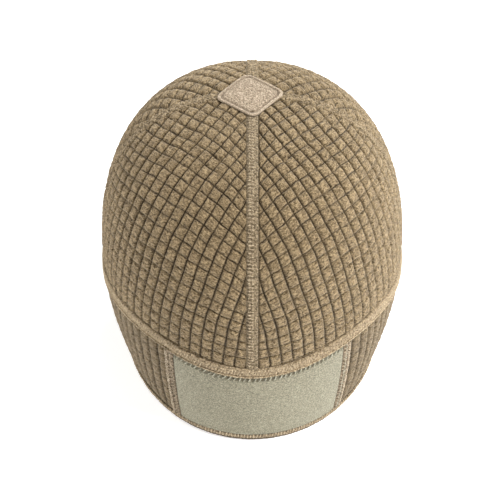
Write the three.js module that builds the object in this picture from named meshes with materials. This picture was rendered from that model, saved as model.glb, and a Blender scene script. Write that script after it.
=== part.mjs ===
// Fleece beanie: a four-panel crown on a band, with a loop-faced panel at the front of the band.
// Millimetres, +Z up, the wearer looks along -Y. The rim stands on the floor at z = 0.
import * as THREE from 'three';

// Whole form, measured on the outside of the fleece
const HALF_WIDTH = 85;            // left to right, at the widest level
const HALF_DEPTH = 98.7;          // front to back, at the widest level
const APEX_HEIGHT = 162.5;        // top of the crown above the rim
const WIDEST_HEIGHT = 62.5;       // level of the largest section
const APEX_BACK = 10.4;           // how far the top of the crown sits behind the middle
const DOME_POWER_FRONT = 2.56;    // fullness of the crown's profile at the front and sides
const DOME_POWER_BACK = 2.21;     // fullness of the crown's profile at the back
const RIM_DRAW_FRONT = 0.055;     // share by which the rim is drawn in at the front and back
const RIM_DRAW_SIDE = 0.158;      // share by which the rim is drawn in at the sides
const RIM_DRAW_POWER = 1.75;      // how late the drawing in comes on the way down

// Cloth
const FLEECE = 2.4;               // thickness of the fleece
const SEAM_PROUD = 0.6;           // how far a flat seam stands above the fleece
const SEAM_WIDTH = 6.0;           // width of the crown's flat seams
const GAP = 0.3;                  // joint left between neighbouring pieces

// Band and its seam
const BAND_SEAM_WIDTH = 6.4;
const BAND_SEAM_HEIGHT = 57.5;    // middle of the band seam, at the front
const BAND_SEAM_CORNER_RISE = 7.5;  // how much higher it runs between the crown seams
const BAND_SEAM_SIDE_RISE = 1.2;    // how much higher it runs at the sides
const HEM_HEIGHT = 4.5;
const HEM_PROUD = 0.3;
const HEM_THICK = 3.3;

// Loop panel at the front of the band, as angles round the head from the front
const LOOP_HALF_ANGLE = 32.7;
const LOOP_TURN = 2.7;            // the panel is sewn this much to one side of the front seam
const PANEL_SEAM_ANGLE = 3.5;     // width of the upright seams at its ends
const GAP_ANGLE = 0.2;
const LOOP_THICK = 1.2;
const LOOP_PROUD = 0.75;          // its face above the fleece's level
const BACKING_THICK = 1.8;

// Crown patch, a rounded square with its corners on the seams
const PATCH_SIDE = 27.4;
const PATCH_CORNER = 4.2;
const PATCH_THICK = 1.2;
const PATCH_LONG = 1.05;          // how much longer it is front to back than across
const PATCH_FORWARD = 3.1;        // middle of the patch in front of the place where the seams cross
const PATCH_ASIDE = -1.1;         // and to the left of it
const PATCH_TURN = 6;             // it is sewn on a little askew

// Facets
const PANEL_COLUMNS = 14;
const PANEL_ROWS = 15;
const RING_COLUMNS = 72;
const SEAM_STATIONS = 18;
const PATCH_SPOKES = 40;
const PATCH_RINGS = 3;
const STEP_DEG = 5;
const STEP_SMALL = 1e-3;
const LENGTH_STEPS = 600;         // steps in which a meridian's length is measured
const SEARCH_DEG = 60;            // how far to one side of a seam its neighbour's edge is looked for
const SEARCH_HALVINGS = 40;
const PATCH_HUB = 0.02;           // share of the patch's reach at which its rings begin

const RAD = Math.PI / 180;
const clamp = (value, low, high) => Math.min(high, Math.max(low, value));
const mix = (a, b, share) => a + (b - a) * share;

// The crown's profile power at an angle round the head
function domePower(phi) {
  const c = Math.cos(phi);
  return c < 0 ? mix(DOME_POWER_FRONT, DOME_POWER_BACK, c * c) : DOME_POWER_FRONT;
}

// A point of the outer face. phi: 0 front, 90 degrees at +X. t: 0 at the top, 1 at the widest level, 2 rim
function skin(phi, t) {
  const s = Math.sin(phi);
  const c = Math.cos(phi);
  let reach = 1;
  let draw = 1;
  let z;
  if (t < 1) {
    const power = domePower(phi);
    reach = Math.pow(Math.sin(Math.max(t, 0) * Math.PI / 2), 2 / DOME_POWER_FRONT);
    z = WIDEST_HEIGHT + (APEX_HEIGHT - WIDEST_HEIGHT) * Math.pow(1 - Math.pow(reach, power), 1 / power);
  } else {
    z = WIDEST_HEIGHT * (2 - t);
    const drawn = RIM_DRAW_FRONT * c * c + RIM_DRAW_SIDE * s * s;
    draw = 1 - drawn * Math.pow(t - 1, RIM_DRAW_POWER);
  }
  return new THREE.Vector3(
    HALF_WIDTH * reach * draw * s,
    -HALF_DEPTH * reach * draw * c + APEX_BACK * (1 - reach),
    z
  );
}

// Outward normal of the outer face, upright at the very top
function skinNormal(phi, t) {
  if (t < STEP_SMALL) return new THREE.Vector3(0, 0, 1);
  const across = skin(phi + STEP_SMALL, t).sub(skin(phi - STEP_SMALL, t));
  const down = skin(phi, t + STEP_SMALL).sub(skin(phi, t - STEP_SMALL));
  return down.cross(across).normalize();
}

// t at a reach, the share of the widest section's size, on the crown
function tAtReach(reach) {
  return Math.asin(clamp(Math.pow(reach, DOME_POWER_FRONT / 2), 0, 1)) / (Math.PI / 2);
}

// t at a height on the outer face
function tAtHeight(phi, z) {
  if (z <= WIDEST_HEIGHT) return 2 - z / WIDEST_HEIGHT;
  const share = clamp((z - WIDEST_HEIGHT) / (APEX_HEIGHT - WIDEST_HEIGHT), 0, 1);
  const power = domePower(phi);
  return tAtReach(Math.pow(1 - Math.pow(share, power), 1 / power));
}

// A point at a distance in or out from the crown's outer face, square to it
function crownPoint(phi, t, out) {
  return skin(phi, t).addScaledVector(skinNormal(phi, t), out);
}

// A point at a distance in or out from the band's outer face, moved level so that heights stay true
function bandPoint(phi, z, out) {
  const t = tAtHeight(phi, z);
  const normal = skinNormal(phi, t);
  const level = Math.hypot(normal.x, normal.y);
  const flat = new THREE.Vector3(normal.x / level, normal.y / level, 0);
  return skin(phi, t).addScaledVector(flat, out / level);
}

// Angle and t of the point of the outer face above a point of the plan, near the top
function underPlan(x, y) {
  const back = y - APEX_BACK;
  const lean = APEX_BACK / (HALF_DEPTH * HALF_DEPTH);
  const a = 1 - APEX_BACK * lean;
  const b = 2 * back * lean;
  const c = (back / HALF_DEPTH) ** 2 + (x / HALF_WIDTH) ** 2;
  const reach = (b + Math.sqrt(b * b + 4 * a * c)) / (2 * a);
  const phi = Math.atan2(x / HALF_WIDTH, -(back + APEX_BACK * reach) / HALF_DEPTH);
  return { phi, t: tAtReach(reach) };
}

function bandSeamHeight(phi) {
  const corner = BAND_SEAM_CORNER_RISE * Math.sin(2 * phi) ** 2;
  return BAND_SEAM_HEIGHT + corner + BAND_SEAM_SIDE_RISE * Math.sin(phi) ** 2;
}

// t of the crown's lower edge, just above the band seam
function crownEdge(phi) {
  return tAtHeight(phi, bandSeamHeight(phi) + BAND_SEAM_WIDTH / 2 + GAP);
}

// Share of the way down a crown meridian for a distance along the cloth from the top
const REFERENCE_PHI = 45 * RAD;
const REFERENCE = referenceTable();
function referenceTable() {
  const edge = crownEdge(REFERENCE_PHI);
  const table = [{ share: 0, length: 0 }];
  let last = skin(REFERENCE_PHI, 0);
  for (let i = 1; i <= LENGTH_STEPS; i++) {
    const share = i / LENGTH_STEPS;
    const here = skin(REFERENCE_PHI, edge * share);
    table.push({ share, length: table[i - 1].length + here.distanceTo(last) });
    last = here;
  }
  return table;
}
const CROWN_LENGTH = REFERENCE[REFERENCE.length - 1].length;
function shareAtLength(length) {
  const index = REFERENCE.findIndex((entry) => entry.length >= length);
  if (index <= 0) return index === 0 ? 0 : 1;
  const low = REFERENCE[index - 1];
  const high = REFERENCE[index];
  return mix(low.share, high.share, (length - low.length) / (high.length - low.length));
}
function lengthAtShare(share) {
  const place = clamp(share, 0, 1) * (REFERENCE.length - 1);
  const index = Math.min(Math.floor(place), REFERENCE.length - 2);
  return mix(REFERENCE[index].length, REFERENCE[index + 1].length, place - index);
}

// The upright planes that the crown's seams lie in: the angle of each, and a point's distance across it
const SIDE_SLOPE = Math.hypot(HALF_WIDTH, APEX_BACK);
const SEAM_PLANES = {
  front: { mid: 0, across: (p) => p.x },
  right: { mid: 90, across: (p) => ((p.y - APEX_BACK) * HALF_WIDTH + p.x * APEX_BACK) / SIDE_SLOPE },
  back: { mid: 180, across: (p) => -p.x },
  left: { mid: 270, across: (p) => ((APEX_BACK - p.y) * HALF_WIDTH + p.x * APEX_BACK) / SIDE_SLOPE },
};

// Angle at which a level of the crown stands a distance to one side of a seam, and t there
function besideSeam(name, distance, share) {
  const plane = SEAM_PLANES[name];
  const side = Math.sign(distance);
  let near = plane.mid * RAD;
  let far = near + side * SEARCH_DEG * RAD;
  for (let i = 0; i < SEARCH_HALVINGS; i++) {
    const middle = (near + far) / 2;
    const reached = plane.across(skin(middle, share * crownEdge(middle))) * side;
    if (reached < Math.abs(distance)) near = middle;
    else far = middle;
  }
  const phi = distance === 0 ? plane.mid * RAD : (near + far) / 2;
  return { phi, t: share * crownEdge(phi) };
}

// A closed solid from a grid of outer points and the matching inner points. Rows run down, columns to +phi
function shellGeometry(outer, inner, ring = false) {
  const rows = outer.length;
  const columns = outer[0].length;
  const positions = [];
  const faces = [];
  const quad = (a, b, c, d) => faces.push(a, b, c, a, c, d);
  for (const layer of [outer, inner]) {
    for (const row of layer) {
      for (const point of row) positions.push(point.x, point.y, point.z);
    }
  }
  const at = (layer, j, i) => layer * rows * columns + j * columns + (i % columns);
  const spans = ring ? columns : columns - 1;
  for (let j = 0; j < rows - 1; j++) {
    for (let i = 0; i < spans; i++) {
      quad(at(0, j, i), at(0, j + 1, i), at(0, j + 1, i + 1), at(0, j, i + 1));
      quad(at(1, j, i), at(1, j, i + 1), at(1, j + 1, i + 1), at(1, j + 1, i));
    }
  }
  for (let i = 0; i < spans; i++) {
    quad(at(0, 0, i), at(0, 0, i + 1), at(1, 0, i + 1), at(1, 0, i));
    quad(at(0, rows - 1, i), at(1, rows - 1, i), at(1, rows - 1, i + 1), at(0, rows - 1, i + 1));
  }
  if (!ring) {
    const end = columns - 1;
    for (let j = 0; j < rows - 1; j++) {
      quad(at(0, j, 0), at(1, j, 0), at(1, j + 1, 0), at(0, j + 1, 0));
      quad(at(0, j, end), at(0, j + 1, end), at(1, j + 1, end), at(1, j, end));
    }
  }
  const geometry = new THREE.BufferGeometry();
  geometry.setAttribute('position', new THREE.Float32BufferAttribute(positions, 3));
  geometry.setIndex(faces);
  geometry.computeVertexNormals();
  return geometry;
}

// Build both layers of a shell from a grid of places and the point each place has at a distance out
function layered(places, pointAt, outside, inside) {
  const layer = (out) => places.map((row) => row.map((place) => pointAt(place, out)));
  return [layer(outside), layer(inside)];
}

const onCrown = (place, out) => crownPoint(place.phi, place.t, out);
const onBand = (place, out) => bandPoint(place.phi, place.z, out);

// One gore of the crown, between two seams
const GORE_START = 5.6;           // distance from the top at which a gore's point begins
function crownPanel(fromSeam, toSeam) {
  const clear = SEAM_WIDTH / 2 + GAP;
  const places = [];
  for (let j = 0; j <= PANEL_ROWS; j++) {
    const share = shareAtLength(mix(GORE_START, CROWN_LENGTH, j / PANEL_ROWS));
    const first = besideSeam(fromSeam, clear, share).phi;
    let last = besideSeam(toSeam, -clear, share).phi;
    if (last < first) last += 360 * RAD;
    const row = [];
    for (let i = 0; i <= PANEL_COLUMNS; i++) {
      const phi = mix(first, last, i / PANEL_COLUMNS);
      row.push({ phi, t: share * crownEdge(phi) });
    }
    places.push(row);
  }
  return shellGeometry(...layered(places, onCrown, 0, -FLEECE));
}

// Share of the way down the crown at a distance in plan from the top, along a seam
function shareAtPlan(name, distance) {
  const angle = SEAM_PLANES[name].mid * RAD;
  const { phi, t } = underPlan(distance * Math.sin(angle), APEX_BACK - distance * Math.cos(angle));
  return t / crownEdge(phi);
}

// Stations of a crown seam from near the top to the band. Under the patch the seam lies flush with the fleece
const PATCH_REACH = PATCH_SIDE / Math.SQRT2 - PATCH_CORNER * (Math.SQRT2 - 1);
const PATCH_SHIFT = {
  front: PATCH_REACH * (PATCH_LONG - 1) + PATCH_FORWARD,
  back: PATCH_REACH * (PATCH_LONG - 1) - PATCH_FORWARD,
  right: PATCH_ASIDE,
  left: -PATCH_ASIDE,
};
const FIRST_STATION = 12;
function seamStations(name) {
  const covered = PATCH_REACH + PATCH_SHIFT[name] + GAP;
  const stations = [
    { share: shareAtPlan(name, FIRST_STATION), out: 0 },
    { share: shareAtPlan(name, covered), out: 0 },
  ];
  const start = lengthAtShare(shareAtPlan(name, covered + SEAM_PROUD));
  for (let k = 0; k <= SEAM_STATIONS; k++) {
    stations.push({ share: shareAtLength(mix(start, CROWN_LENGTH, k / SEAM_STATIONS)), out: SEAM_PROUD });
  }
  return stations;
}

const SEAM_COLUMNS = [-SEAM_WIDTH / 2, 0, SEAM_WIDTH / 2];
function seamRow(name, station) {
  return SEAM_COLUMNS.map((distance) => ({ ...besideSeam(name, distance, station.share), out: station.out }));
}
const onSeam = (place, out) => crownPoint(place.phi, place.t, out < 0 ? out : place.out);

// The long seam: up the front, over the top and down the back
function crownSeamFrontBack() {
  const front = seamStations('front').map((station) => seamRow('front', station));
  const back = seamStations('back').map((station) => seamRow('back', station).reverse());
  const top = SEAM_COLUMNS.map((x) => ({ ...underPlan(x, APEX_BACK), out: 0 }));
  const places = [...back.reverse(), top, ...front];
  return shellGeometry(...layered(places, onSeam, 0, -FLEECE));
}

// A side seam, from beside the long seam down to the band
function crownSeamSide(name) {
  const sign = name === 'right' ? 1 : -1;
  const startX = SEAM_WIDTH / 2 + GAP;
  const first = SEAM_COLUMNS.map((distance) => {
    const y = APEX_BACK * (1 - startX / HALF_WIDTH) + sign * distance;
    return { ...underPlan(sign * startX, y), out: 0 };
  });
  const places = [first, ...seamStations(name).map((station) => seamRow(name, station))];
  return shellGeometry(...layered(places, onSeam, 0, -FLEECE));
}

// Distance from the middle of a rounded square to its outline, corners at 0, 90, 180 and 270 degrees
function patchReach(angle) {
  const quarter = Math.PI / 2;
  const turned = Math.abs(((angle + quarter / 2) % quarter + quarter) % quarter - quarter / 2);
  const half = PATCH_SIDE / 2;
  const flat = half - PATCH_CORNER;
  if (turned > Math.PI / 4 - Math.atan2(flat, half)) return half / Math.cos(Math.PI / 4 - turned);
  const centre = flat * Math.SQRT2;
  return centre * Math.cos(turned) + Math.sqrt(PATCH_CORNER ** 2 - (centre * Math.sin(turned)) ** 2);
}

function crownPatch() {
  const outer = [];
  const inner = [];
  for (let r = 0; r <= PATCH_RINGS; r++) {
    const outerRow = [];
    const innerRow = [];
    for (let k = 0; k < PATCH_SPOKES; k++) {
      const angle = 2 * Math.PI * k / PATCH_SPOKES;
      const reach = Math.max(r / PATCH_RINGS, PATCH_HUB) * patchReach(angle);
      const along = angle + PATCH_TURN * RAD;
      const x = PATCH_ASIDE + reach * Math.sin(along);
      const y = APEX_BACK - PATCH_FORWARD - reach * PATCH_LONG * Math.cos(along);
      const { phi, t } = underPlan(x, y);
      outerRow.push(crownPoint(phi, t, GAP + PATCH_THICK));
      innerRow.push(crownPoint(phi, t, GAP));
    }
    outer.push(outerRow);
    inner.push(innerRow);
  }
  return discGeometry(outer, inner);
}

// A closed plate from rings of outer and inner points round a middle
function discGeometry(outer, inner) {
  const rings = outer.length;
  const spokes = outer[0].length;
  const positions = [];
  const faces = [];
  const middle = (row) => row.reduce((sum, p) => sum.add(p), new THREE.Vector3()).divideScalar(row.length);
  for (const layer of [outer, inner]) {
    const centre = middle(layer[0]);
    positions.push(centre.x, centre.y, centre.z);
    for (const row of layer.slice(1)) {
      for (const point of row) positions.push(point.x, point.y, point.z);
    }
  }
  const size = 1 + (rings - 1) * spokes;
  const at = (layer, r, k) => layer * size + (r === 0 ? 0 : 1 + (r - 1) * spokes + (k % spokes));
  for (let k = 0; k < spokes; k++) {
    faces.push(at(0, 0, 0), at(0, 1, k), at(0, 1, k + 1));
    faces.push(at(1, 0, 0), at(1, 1, k + 1), at(1, 1, k));
    for (let r = 1; r < rings - 1; r++) {
      faces.push(at(0, r, k), at(0, r + 1, k), at(0, r + 1, k + 1));
      faces.push(at(0, r, k), at(0, r + 1, k + 1), at(0, r, k + 1));
      faces.push(at(1, r, k), at(1, r + 1, k + 1), at(1, r + 1, k));
      faces.push(at(1, r, k), at(1, r, k + 1), at(1, r + 1, k + 1));
    }
    const r = rings - 1;
    faces.push(at(0, r, k), at(1, r, k), at(1, r, k + 1), at(0, r, k), at(1, r, k + 1), at(0, r, k + 1));
  }
  const geometry = new THREE.BufferGeometry();
  geometry.setAttribute('position', new THREE.Float32BufferAttribute(positions, 3));
  geometry.setIndex(faces);
  geometry.computeVertexNormals();
  return geometry;
}

// A stretch of the band between two angles in degrees, from under the band seam down to the hem
const BAND_ROWS = 5;
function bandStretch(from, to, outside, inside) {
  const columns = Math.max(1, Math.round((to - from) / STEP_DEG));
  const places = [];
  for (let j = 0; j <= BAND_ROWS; j++) {
    const row = [];
    for (let i = 0; i <= columns; i++) {
      const phi = mix(from, to, i / columns) * RAD;
      const top = bandSeamHeight(phi) - BAND_SEAM_WIDTH / 2 - GAP;
      row.push({ phi, z: mix(top, HEM_HEIGHT + GAP, j / BAND_ROWS) });
    }
    places.push(row);
  }
  return shellGeometry(...layered(places, onBand, outside, inside));
}

const LOOP_START = LOOP_TURN - LOOP_HALF_ANGLE;
const LOOP_END = LOOP_TURN + LOOP_HALF_ANGLE;

function bandSeam() {
  const places = [];
  for (const share of [0.5, 0, -0.5]) {
    const row = [];
    for (let i = 0; i < RING_COLUMNS; i++) {
      const phi = 2 * Math.PI * i / RING_COLUMNS;
      row.push({ phi, z: bandSeamHeight(phi) + share * BAND_SEAM_WIDTH });
    }
    places.push(row);
  }
  return shellGeometry(...layered(places, onBand, SEAM_PROUD, -FLEECE), true);
}

function hem() {
  const section = [
    { z: HEM_HEIGHT, out: HEM_PROUD },
    { z: HEM_HEIGHT / 2, out: HEM_PROUD },
    { z: 0, out: HEM_PROUD },
  ];
  const layer = (inset) => section.map(({ z, out }) => {
    const row = [];
    for (let i = 0; i < RING_COLUMNS; i++) {
      row.push(bandPoint(2 * Math.PI * i / RING_COLUMNS, z, out - inset));
    }
    return row;
  });
  return shellGeometry(layer(0), layer(HEM_THICK), true);
}

// Colours as seen in daylight
const LOOKS = {
  fleece: { color: 0x937f62, roughness: 0.95 },
  seam: { color: 0x9d896d, roughness: 0.9 },
  loop: { color: 0xada791, roughness: 0.97 },
  hem: { color: 0xa5947c, roughness: 0.9 },
  patch: { color: 0xc8b49c, roughness: 0.85 },
};

function add(group, name, geometry, look) {
  const material = new THREE.MeshStandardMaterial({ ...LOOKS[look], metalness: 0 });
  material.name = look;
  const mesh = new THREE.Mesh(geometry, material);
  mesh.name = name;
  group.add(mesh);
}

const beanie = new THREE.Group();
beanie.name = 'fleece_beanie';
add(beanie, 'crown_panel_front_right', crownPanel('front', 'right'), 'fleece');
add(beanie, 'crown_panel_back_right', crownPanel('right', 'back'), 'fleece');
add(beanie, 'crown_panel_back_left', crownPanel('back', 'left'), 'fleece');
add(beanie, 'crown_panel_front_left', crownPanel('left', 'front'), 'fleece');
add(beanie, 'crown_seam_front_back', crownSeamFrontBack(), 'seam');
add(beanie, 'crown_seam_right', crownSeamSide('right'), 'seam');
add(beanie, 'crown_seam_left', crownSeamSide('left'), 'seam');
add(beanie, 'crown_patch', crownPatch(), 'patch');
add(beanie, 'band_seam', bandSeam(), 'seam');
const seamEnd = PANEL_SEAM_ANGLE + GAP_ANGLE;
add(beanie, 'band', bandStretch(LOOP_END + seamEnd, LOOP_START + 360 - seamEnd, 0, -FLEECE), 'fleece');
const backingFace = LOOP_PROUD - LOOP_THICK - GAP;
const backing = bandStretch(LOOP_START, LOOP_END, backingFace, backingFace - BACKING_THICK);
add(beanie, 'band_front', backing, 'fleece');
add(beanie, 'loop_panel', bandStretch(LOOP_START, LOOP_END, LOOP_PROUD, LOOP_PROUD - LOOP_THICK), 'loop');
const rightSeam = bandStretch(LOOP_END + GAP_ANGLE, LOOP_END + PANEL_SEAM_ANGLE, SEAM_PROUD, -FLEECE);
add(beanie, 'panel_seam_right', rightSeam, 'seam');
const leftSeam = bandStretch(LOOP_START - PANEL_SEAM_ANGLE, LOOP_START - GAP_ANGLE, SEAM_PROUD, -FLEECE);
add(beanie, 'panel_seam_left', leftSeam, 'seam');
add(beanie, 'hem', hem(), 'hem');

export default beanie;
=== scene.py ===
"""A fleece beanie: gored crown of grid fleece, flat seams, a crown patch and a band with a loop-faced front.

Lengths are in millimetres in the classes and in metres in the meshes. The front is -Y and +Z is up.
"""
import logging
import math
from collections.abc import Callable
from dataclasses import dataclass, replace
from enum import Enum
from functools import reduce

import bmesh
import bpy
import numpy as np
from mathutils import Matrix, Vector


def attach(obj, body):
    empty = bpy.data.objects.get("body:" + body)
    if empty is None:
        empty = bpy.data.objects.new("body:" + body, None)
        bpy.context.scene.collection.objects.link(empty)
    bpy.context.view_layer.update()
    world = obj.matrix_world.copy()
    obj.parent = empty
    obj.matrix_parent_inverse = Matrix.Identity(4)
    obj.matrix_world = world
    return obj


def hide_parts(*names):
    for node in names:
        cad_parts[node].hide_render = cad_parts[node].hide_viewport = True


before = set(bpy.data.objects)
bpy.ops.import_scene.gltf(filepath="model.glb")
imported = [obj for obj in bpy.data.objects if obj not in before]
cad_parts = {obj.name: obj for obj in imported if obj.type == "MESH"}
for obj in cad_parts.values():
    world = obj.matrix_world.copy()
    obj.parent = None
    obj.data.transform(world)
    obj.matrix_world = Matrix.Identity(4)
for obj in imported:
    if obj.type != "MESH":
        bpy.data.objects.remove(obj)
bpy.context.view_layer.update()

LOG = logging.getLogger("beanie")
MM = 0.001
TURN = 2 * math.pi
UV_PER_MM = 0.01
LOW_CLOTH = (30.0, 100.0)  # where along the cloth it starts to look gathered, and where it fully does

Array = np.ndarray
Colour = tuple[float, float, float]
Socket = bpy.types.NodeSocket
Material = bpy.types.Material
Piece = bpy.types.Object


class Seam(Enum):
    """The crown's four seams, by their place round the head in degrees from the front."""

    FRONT = 0
    RIGHT = 90
    BACK = 180
    LEFT = 270


def smooth(low: float, high: float, value: Array) -> Array:
    """Rise smoothly from 0 to 1 as values go from one limit to the other."""
    share = np.clip((np.asarray(value, float) - low) / (high - low), 0, 1)
    return share * share * (3 - 2 * share)


def unit(vectors: Array) -> Array:
    """Scale vectors to length one along the last axis."""
    return vectors / np.maximum(np.linalg.norm(vectors, axis=-1, keepdims=True), 1e-12)


@dataclass(frozen=True)
class HeadForm:
    """The beanie's outer form, the same as the solids have."""

    half_width: float = 85.0
    half_depth: float = 98.7
    apex_height: float = 162.5
    widest_height: float = 62.5
    apex_back: float = 10.4
    power_front: float = 2.56
    power_back: float = 2.21
    rim_draw_front: float = 0.055
    rim_draw_side: float = 0.158
    rim_draw_power: float = 1.75
    seam_height: float = 57.5
    seam_corner_rise: float = 7.5
    seam_side_rise: float = 1.2
    seam_width: float = 6.4
    joint: float = 0.3
    small_step: float = 1e-3
    search_angle: float = 60.0
    halvings: int = 36
    chords: int = 600

    def power(self, phi: Array) -> Array:
        """Give the crown profile's power at angles round the head."""
        back = np.minimum(np.cos(phi), 0.0)
        return self.power_front + (self.power_back - self.power_front) * back * back

    def skin(self, phi: Array, t: Array) -> Array:
        """Find points of the outer face.

        Args:
            phi: angle round the head in radians, 0 at the front and a right angle at +X.
            t: 0 at the top, 1 at the widest level and 2 at the rim.

        Returns:
            Points in millimetres, with one more axis than the inputs.
        """
        phi, t = np.broadcast_arrays(np.asarray(phi, float), np.asarray(t, float))
        s, c, power = np.sin(phi), np.cos(phi), self.power(phi)
        reach = np.sin(np.clip(t, 0, 1) * math.pi / 2) ** (2 / self.power_front)
        dome = np.maximum(1 - reach ** power, 0) ** (1 / power)
        rise = self.widest_height + (self.apex_height - self.widest_height) * dome
        z = np.where(t < 1, rise, self.widest_height * (2 - t))
        drawn = self.rim_draw_front * c * c + self.rim_draw_side * s * s
        draw = 1 - drawn * np.clip(t - 1, 0, 2) ** self.rim_draw_power
        x = self.half_width * reach * draw * s
        y = -self.half_depth * reach * draw * c + self.apex_back * (1 - reach)
        return np.stack([x, y, z], axis=-1)

    def normal(self, phi: Array, t: Array) -> Array:
        """Find the outward normals of the outer face.

        Args:
            phi: angles round the head.
            t: places down the meridians.

        Returns:
            Unit vectors.
        """
        step = self.small_step
        across = self.skin(phi + step, t) - self.skin(phi - step, t)
        down = self.skin(phi, t + step) - self.skin(phi, np.maximum(t - step, 0))
        at_top = np.asarray(t)[..., None] < step
        return np.where(at_top, np.array([0.0, 0.0, 1.0]), unit(np.cross(down, across)))

    def t_at_reach(self, reach: Array) -> Array:
        """Turn a share of the widest section into t on the crown."""
        return np.arcsin(np.clip(reach ** (self.power_front / 2), 0, 1)) / (math.pi / 2)

    def t_at_height(self, phi: Array, z: Array) -> Array:
        """Find t at heights above the rim.

        Args:
            phi: angles round the head.
            z: heights.

        Returns:
            The values of t.
        """
        phi, z = np.broadcast_arrays(np.asarray(phi, float), np.asarray(z, float))
        power = self.power(phi)
        share = np.clip((z - self.widest_height) / (self.apex_height - self.widest_height), 0, 1)
        crown = self.t_at_reach((1 - share ** power) ** (1 / power))
        return np.where(z > self.widest_height, crown, 2 - z / self.widest_height)

    def under_plan(self, x: Array, y: Array) -> tuple[Array, Array]:
        """Find the angle and t of the face above points of the plan, near the top.

        Args:
            x: distances to the right of the middle.
            y: distances behind the middle.

        Returns:
            The angles and the values of t.
        """
        back = y - self.apex_back
        lean = self.apex_back / self.half_depth ** 2
        a, b = 1 - self.apex_back * lean, 2 * back * lean
        c = (back / self.half_depth) ** 2 + (x / self.half_width) ** 2
        reach = (b + np.sqrt(b * b + 4 * a * c)) / (2 * a)
        phi = np.arctan2(x / self.half_width, -(back + self.apex_back * reach) / self.half_depth)
        return phi, self.t_at_reach(reach)

    def band_seam(self, phi: Array) -> Array:
        """Give the height of the middle of the band seam."""
        rise = self.seam_corner_rise * np.sin(2 * phi) ** 2 + self.seam_side_rise * np.sin(phi) ** 2
        return self.seam_height + rise

    def crown_edge(self, phi: Array) -> Array:
        """Give t of the crown's lower edge, just above the band seam."""
        return self.t_at_height(phi, self.band_seam(phi) + self.seam_width / 2 + self.joint)

    def across(self, seam: Seam, points: Array) -> Array:
        """Measure how far points lie to the +phi side of a crown seam's upright plane.

        Args:
            seam: the seam.
            points: points in millimetres.

        Returns:
            Signed distances.
        """
        x, back = points[..., 0], points[..., 1] - self.apex_back
        if seam in (Seam.FRONT, Seam.BACK):
            return x if seam is Seam.FRONT else -x
        turned = back if seam is Seam.RIGHT else -back
        return (turned * self.half_width + x * self.apex_back) / math.hypot(self.half_width, self.apex_back)

    def beside(self, seam: Seam, distance: Array, share: Array) -> Array:
        """Find the angles at which levels of the crown stand a distance to one side of a seam.

        Args:
            seam: the seam.
            distance: signed distances from it, positive towards +phi.
            share: shares of the way from the top to the band.

        Returns:
            The angles, in radians.
        """
        distance, share = np.broadcast_arrays(np.asarray(distance, float), np.asarray(share, float))
        near = np.full(share.shape, math.radians(seam.value))
        far = near + np.sign(distance) * math.radians(self.search_angle)
        for _ in range(self.halvings):
            probe = (near + far) / 2
            reached = self.across(seam, self.skin(probe, share * self.crown_edge(probe))) * np.sign(distance)
            short = reached < np.abs(distance)
            near, far = np.where(short, probe, near), np.where(short, far, probe)
        return (near + far) / 2

    def level_out(self, phi: Array, z: Array, out: Array) -> Array:
        """Find points of the band at a distance out from its face, moved level so that heights stay true.

        Args:
            phi: angles round the head.
            z: heights.
            out: distances out.

        Returns:
            Points in millimetres.
        """
        t = self.t_at_height(phi, z)
        normal = self.normal(phi, t)
        level = np.hypot(normal[..., 0], normal[..., 1])
        flat = np.stack([normal[..., 0] / level, normal[..., 1] / level, np.zeros_like(level)], axis=-1)
        return self.skin(phi, t) + flat * (np.asarray(out, float) / level)[..., None]

    def length_table(self, phi: float) -> tuple[Array, Array]:
        """Measure along one crown meridian from the top, and a little past the band seam.

        Args:
            phi: the meridian's angle.

        Returns:
            Shares of the way down, and lengths in millimetres.
        """
        share = np.linspace(0, 1.15, self.chords + 1)
        points = self.skin(phi, share * self.crown_edge(phi))
        return share, np.concatenate([[0.0], np.cumsum(np.linalg.norm(np.diff(points, axis=0), axis=1))])


FORM = HeadForm()


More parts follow.
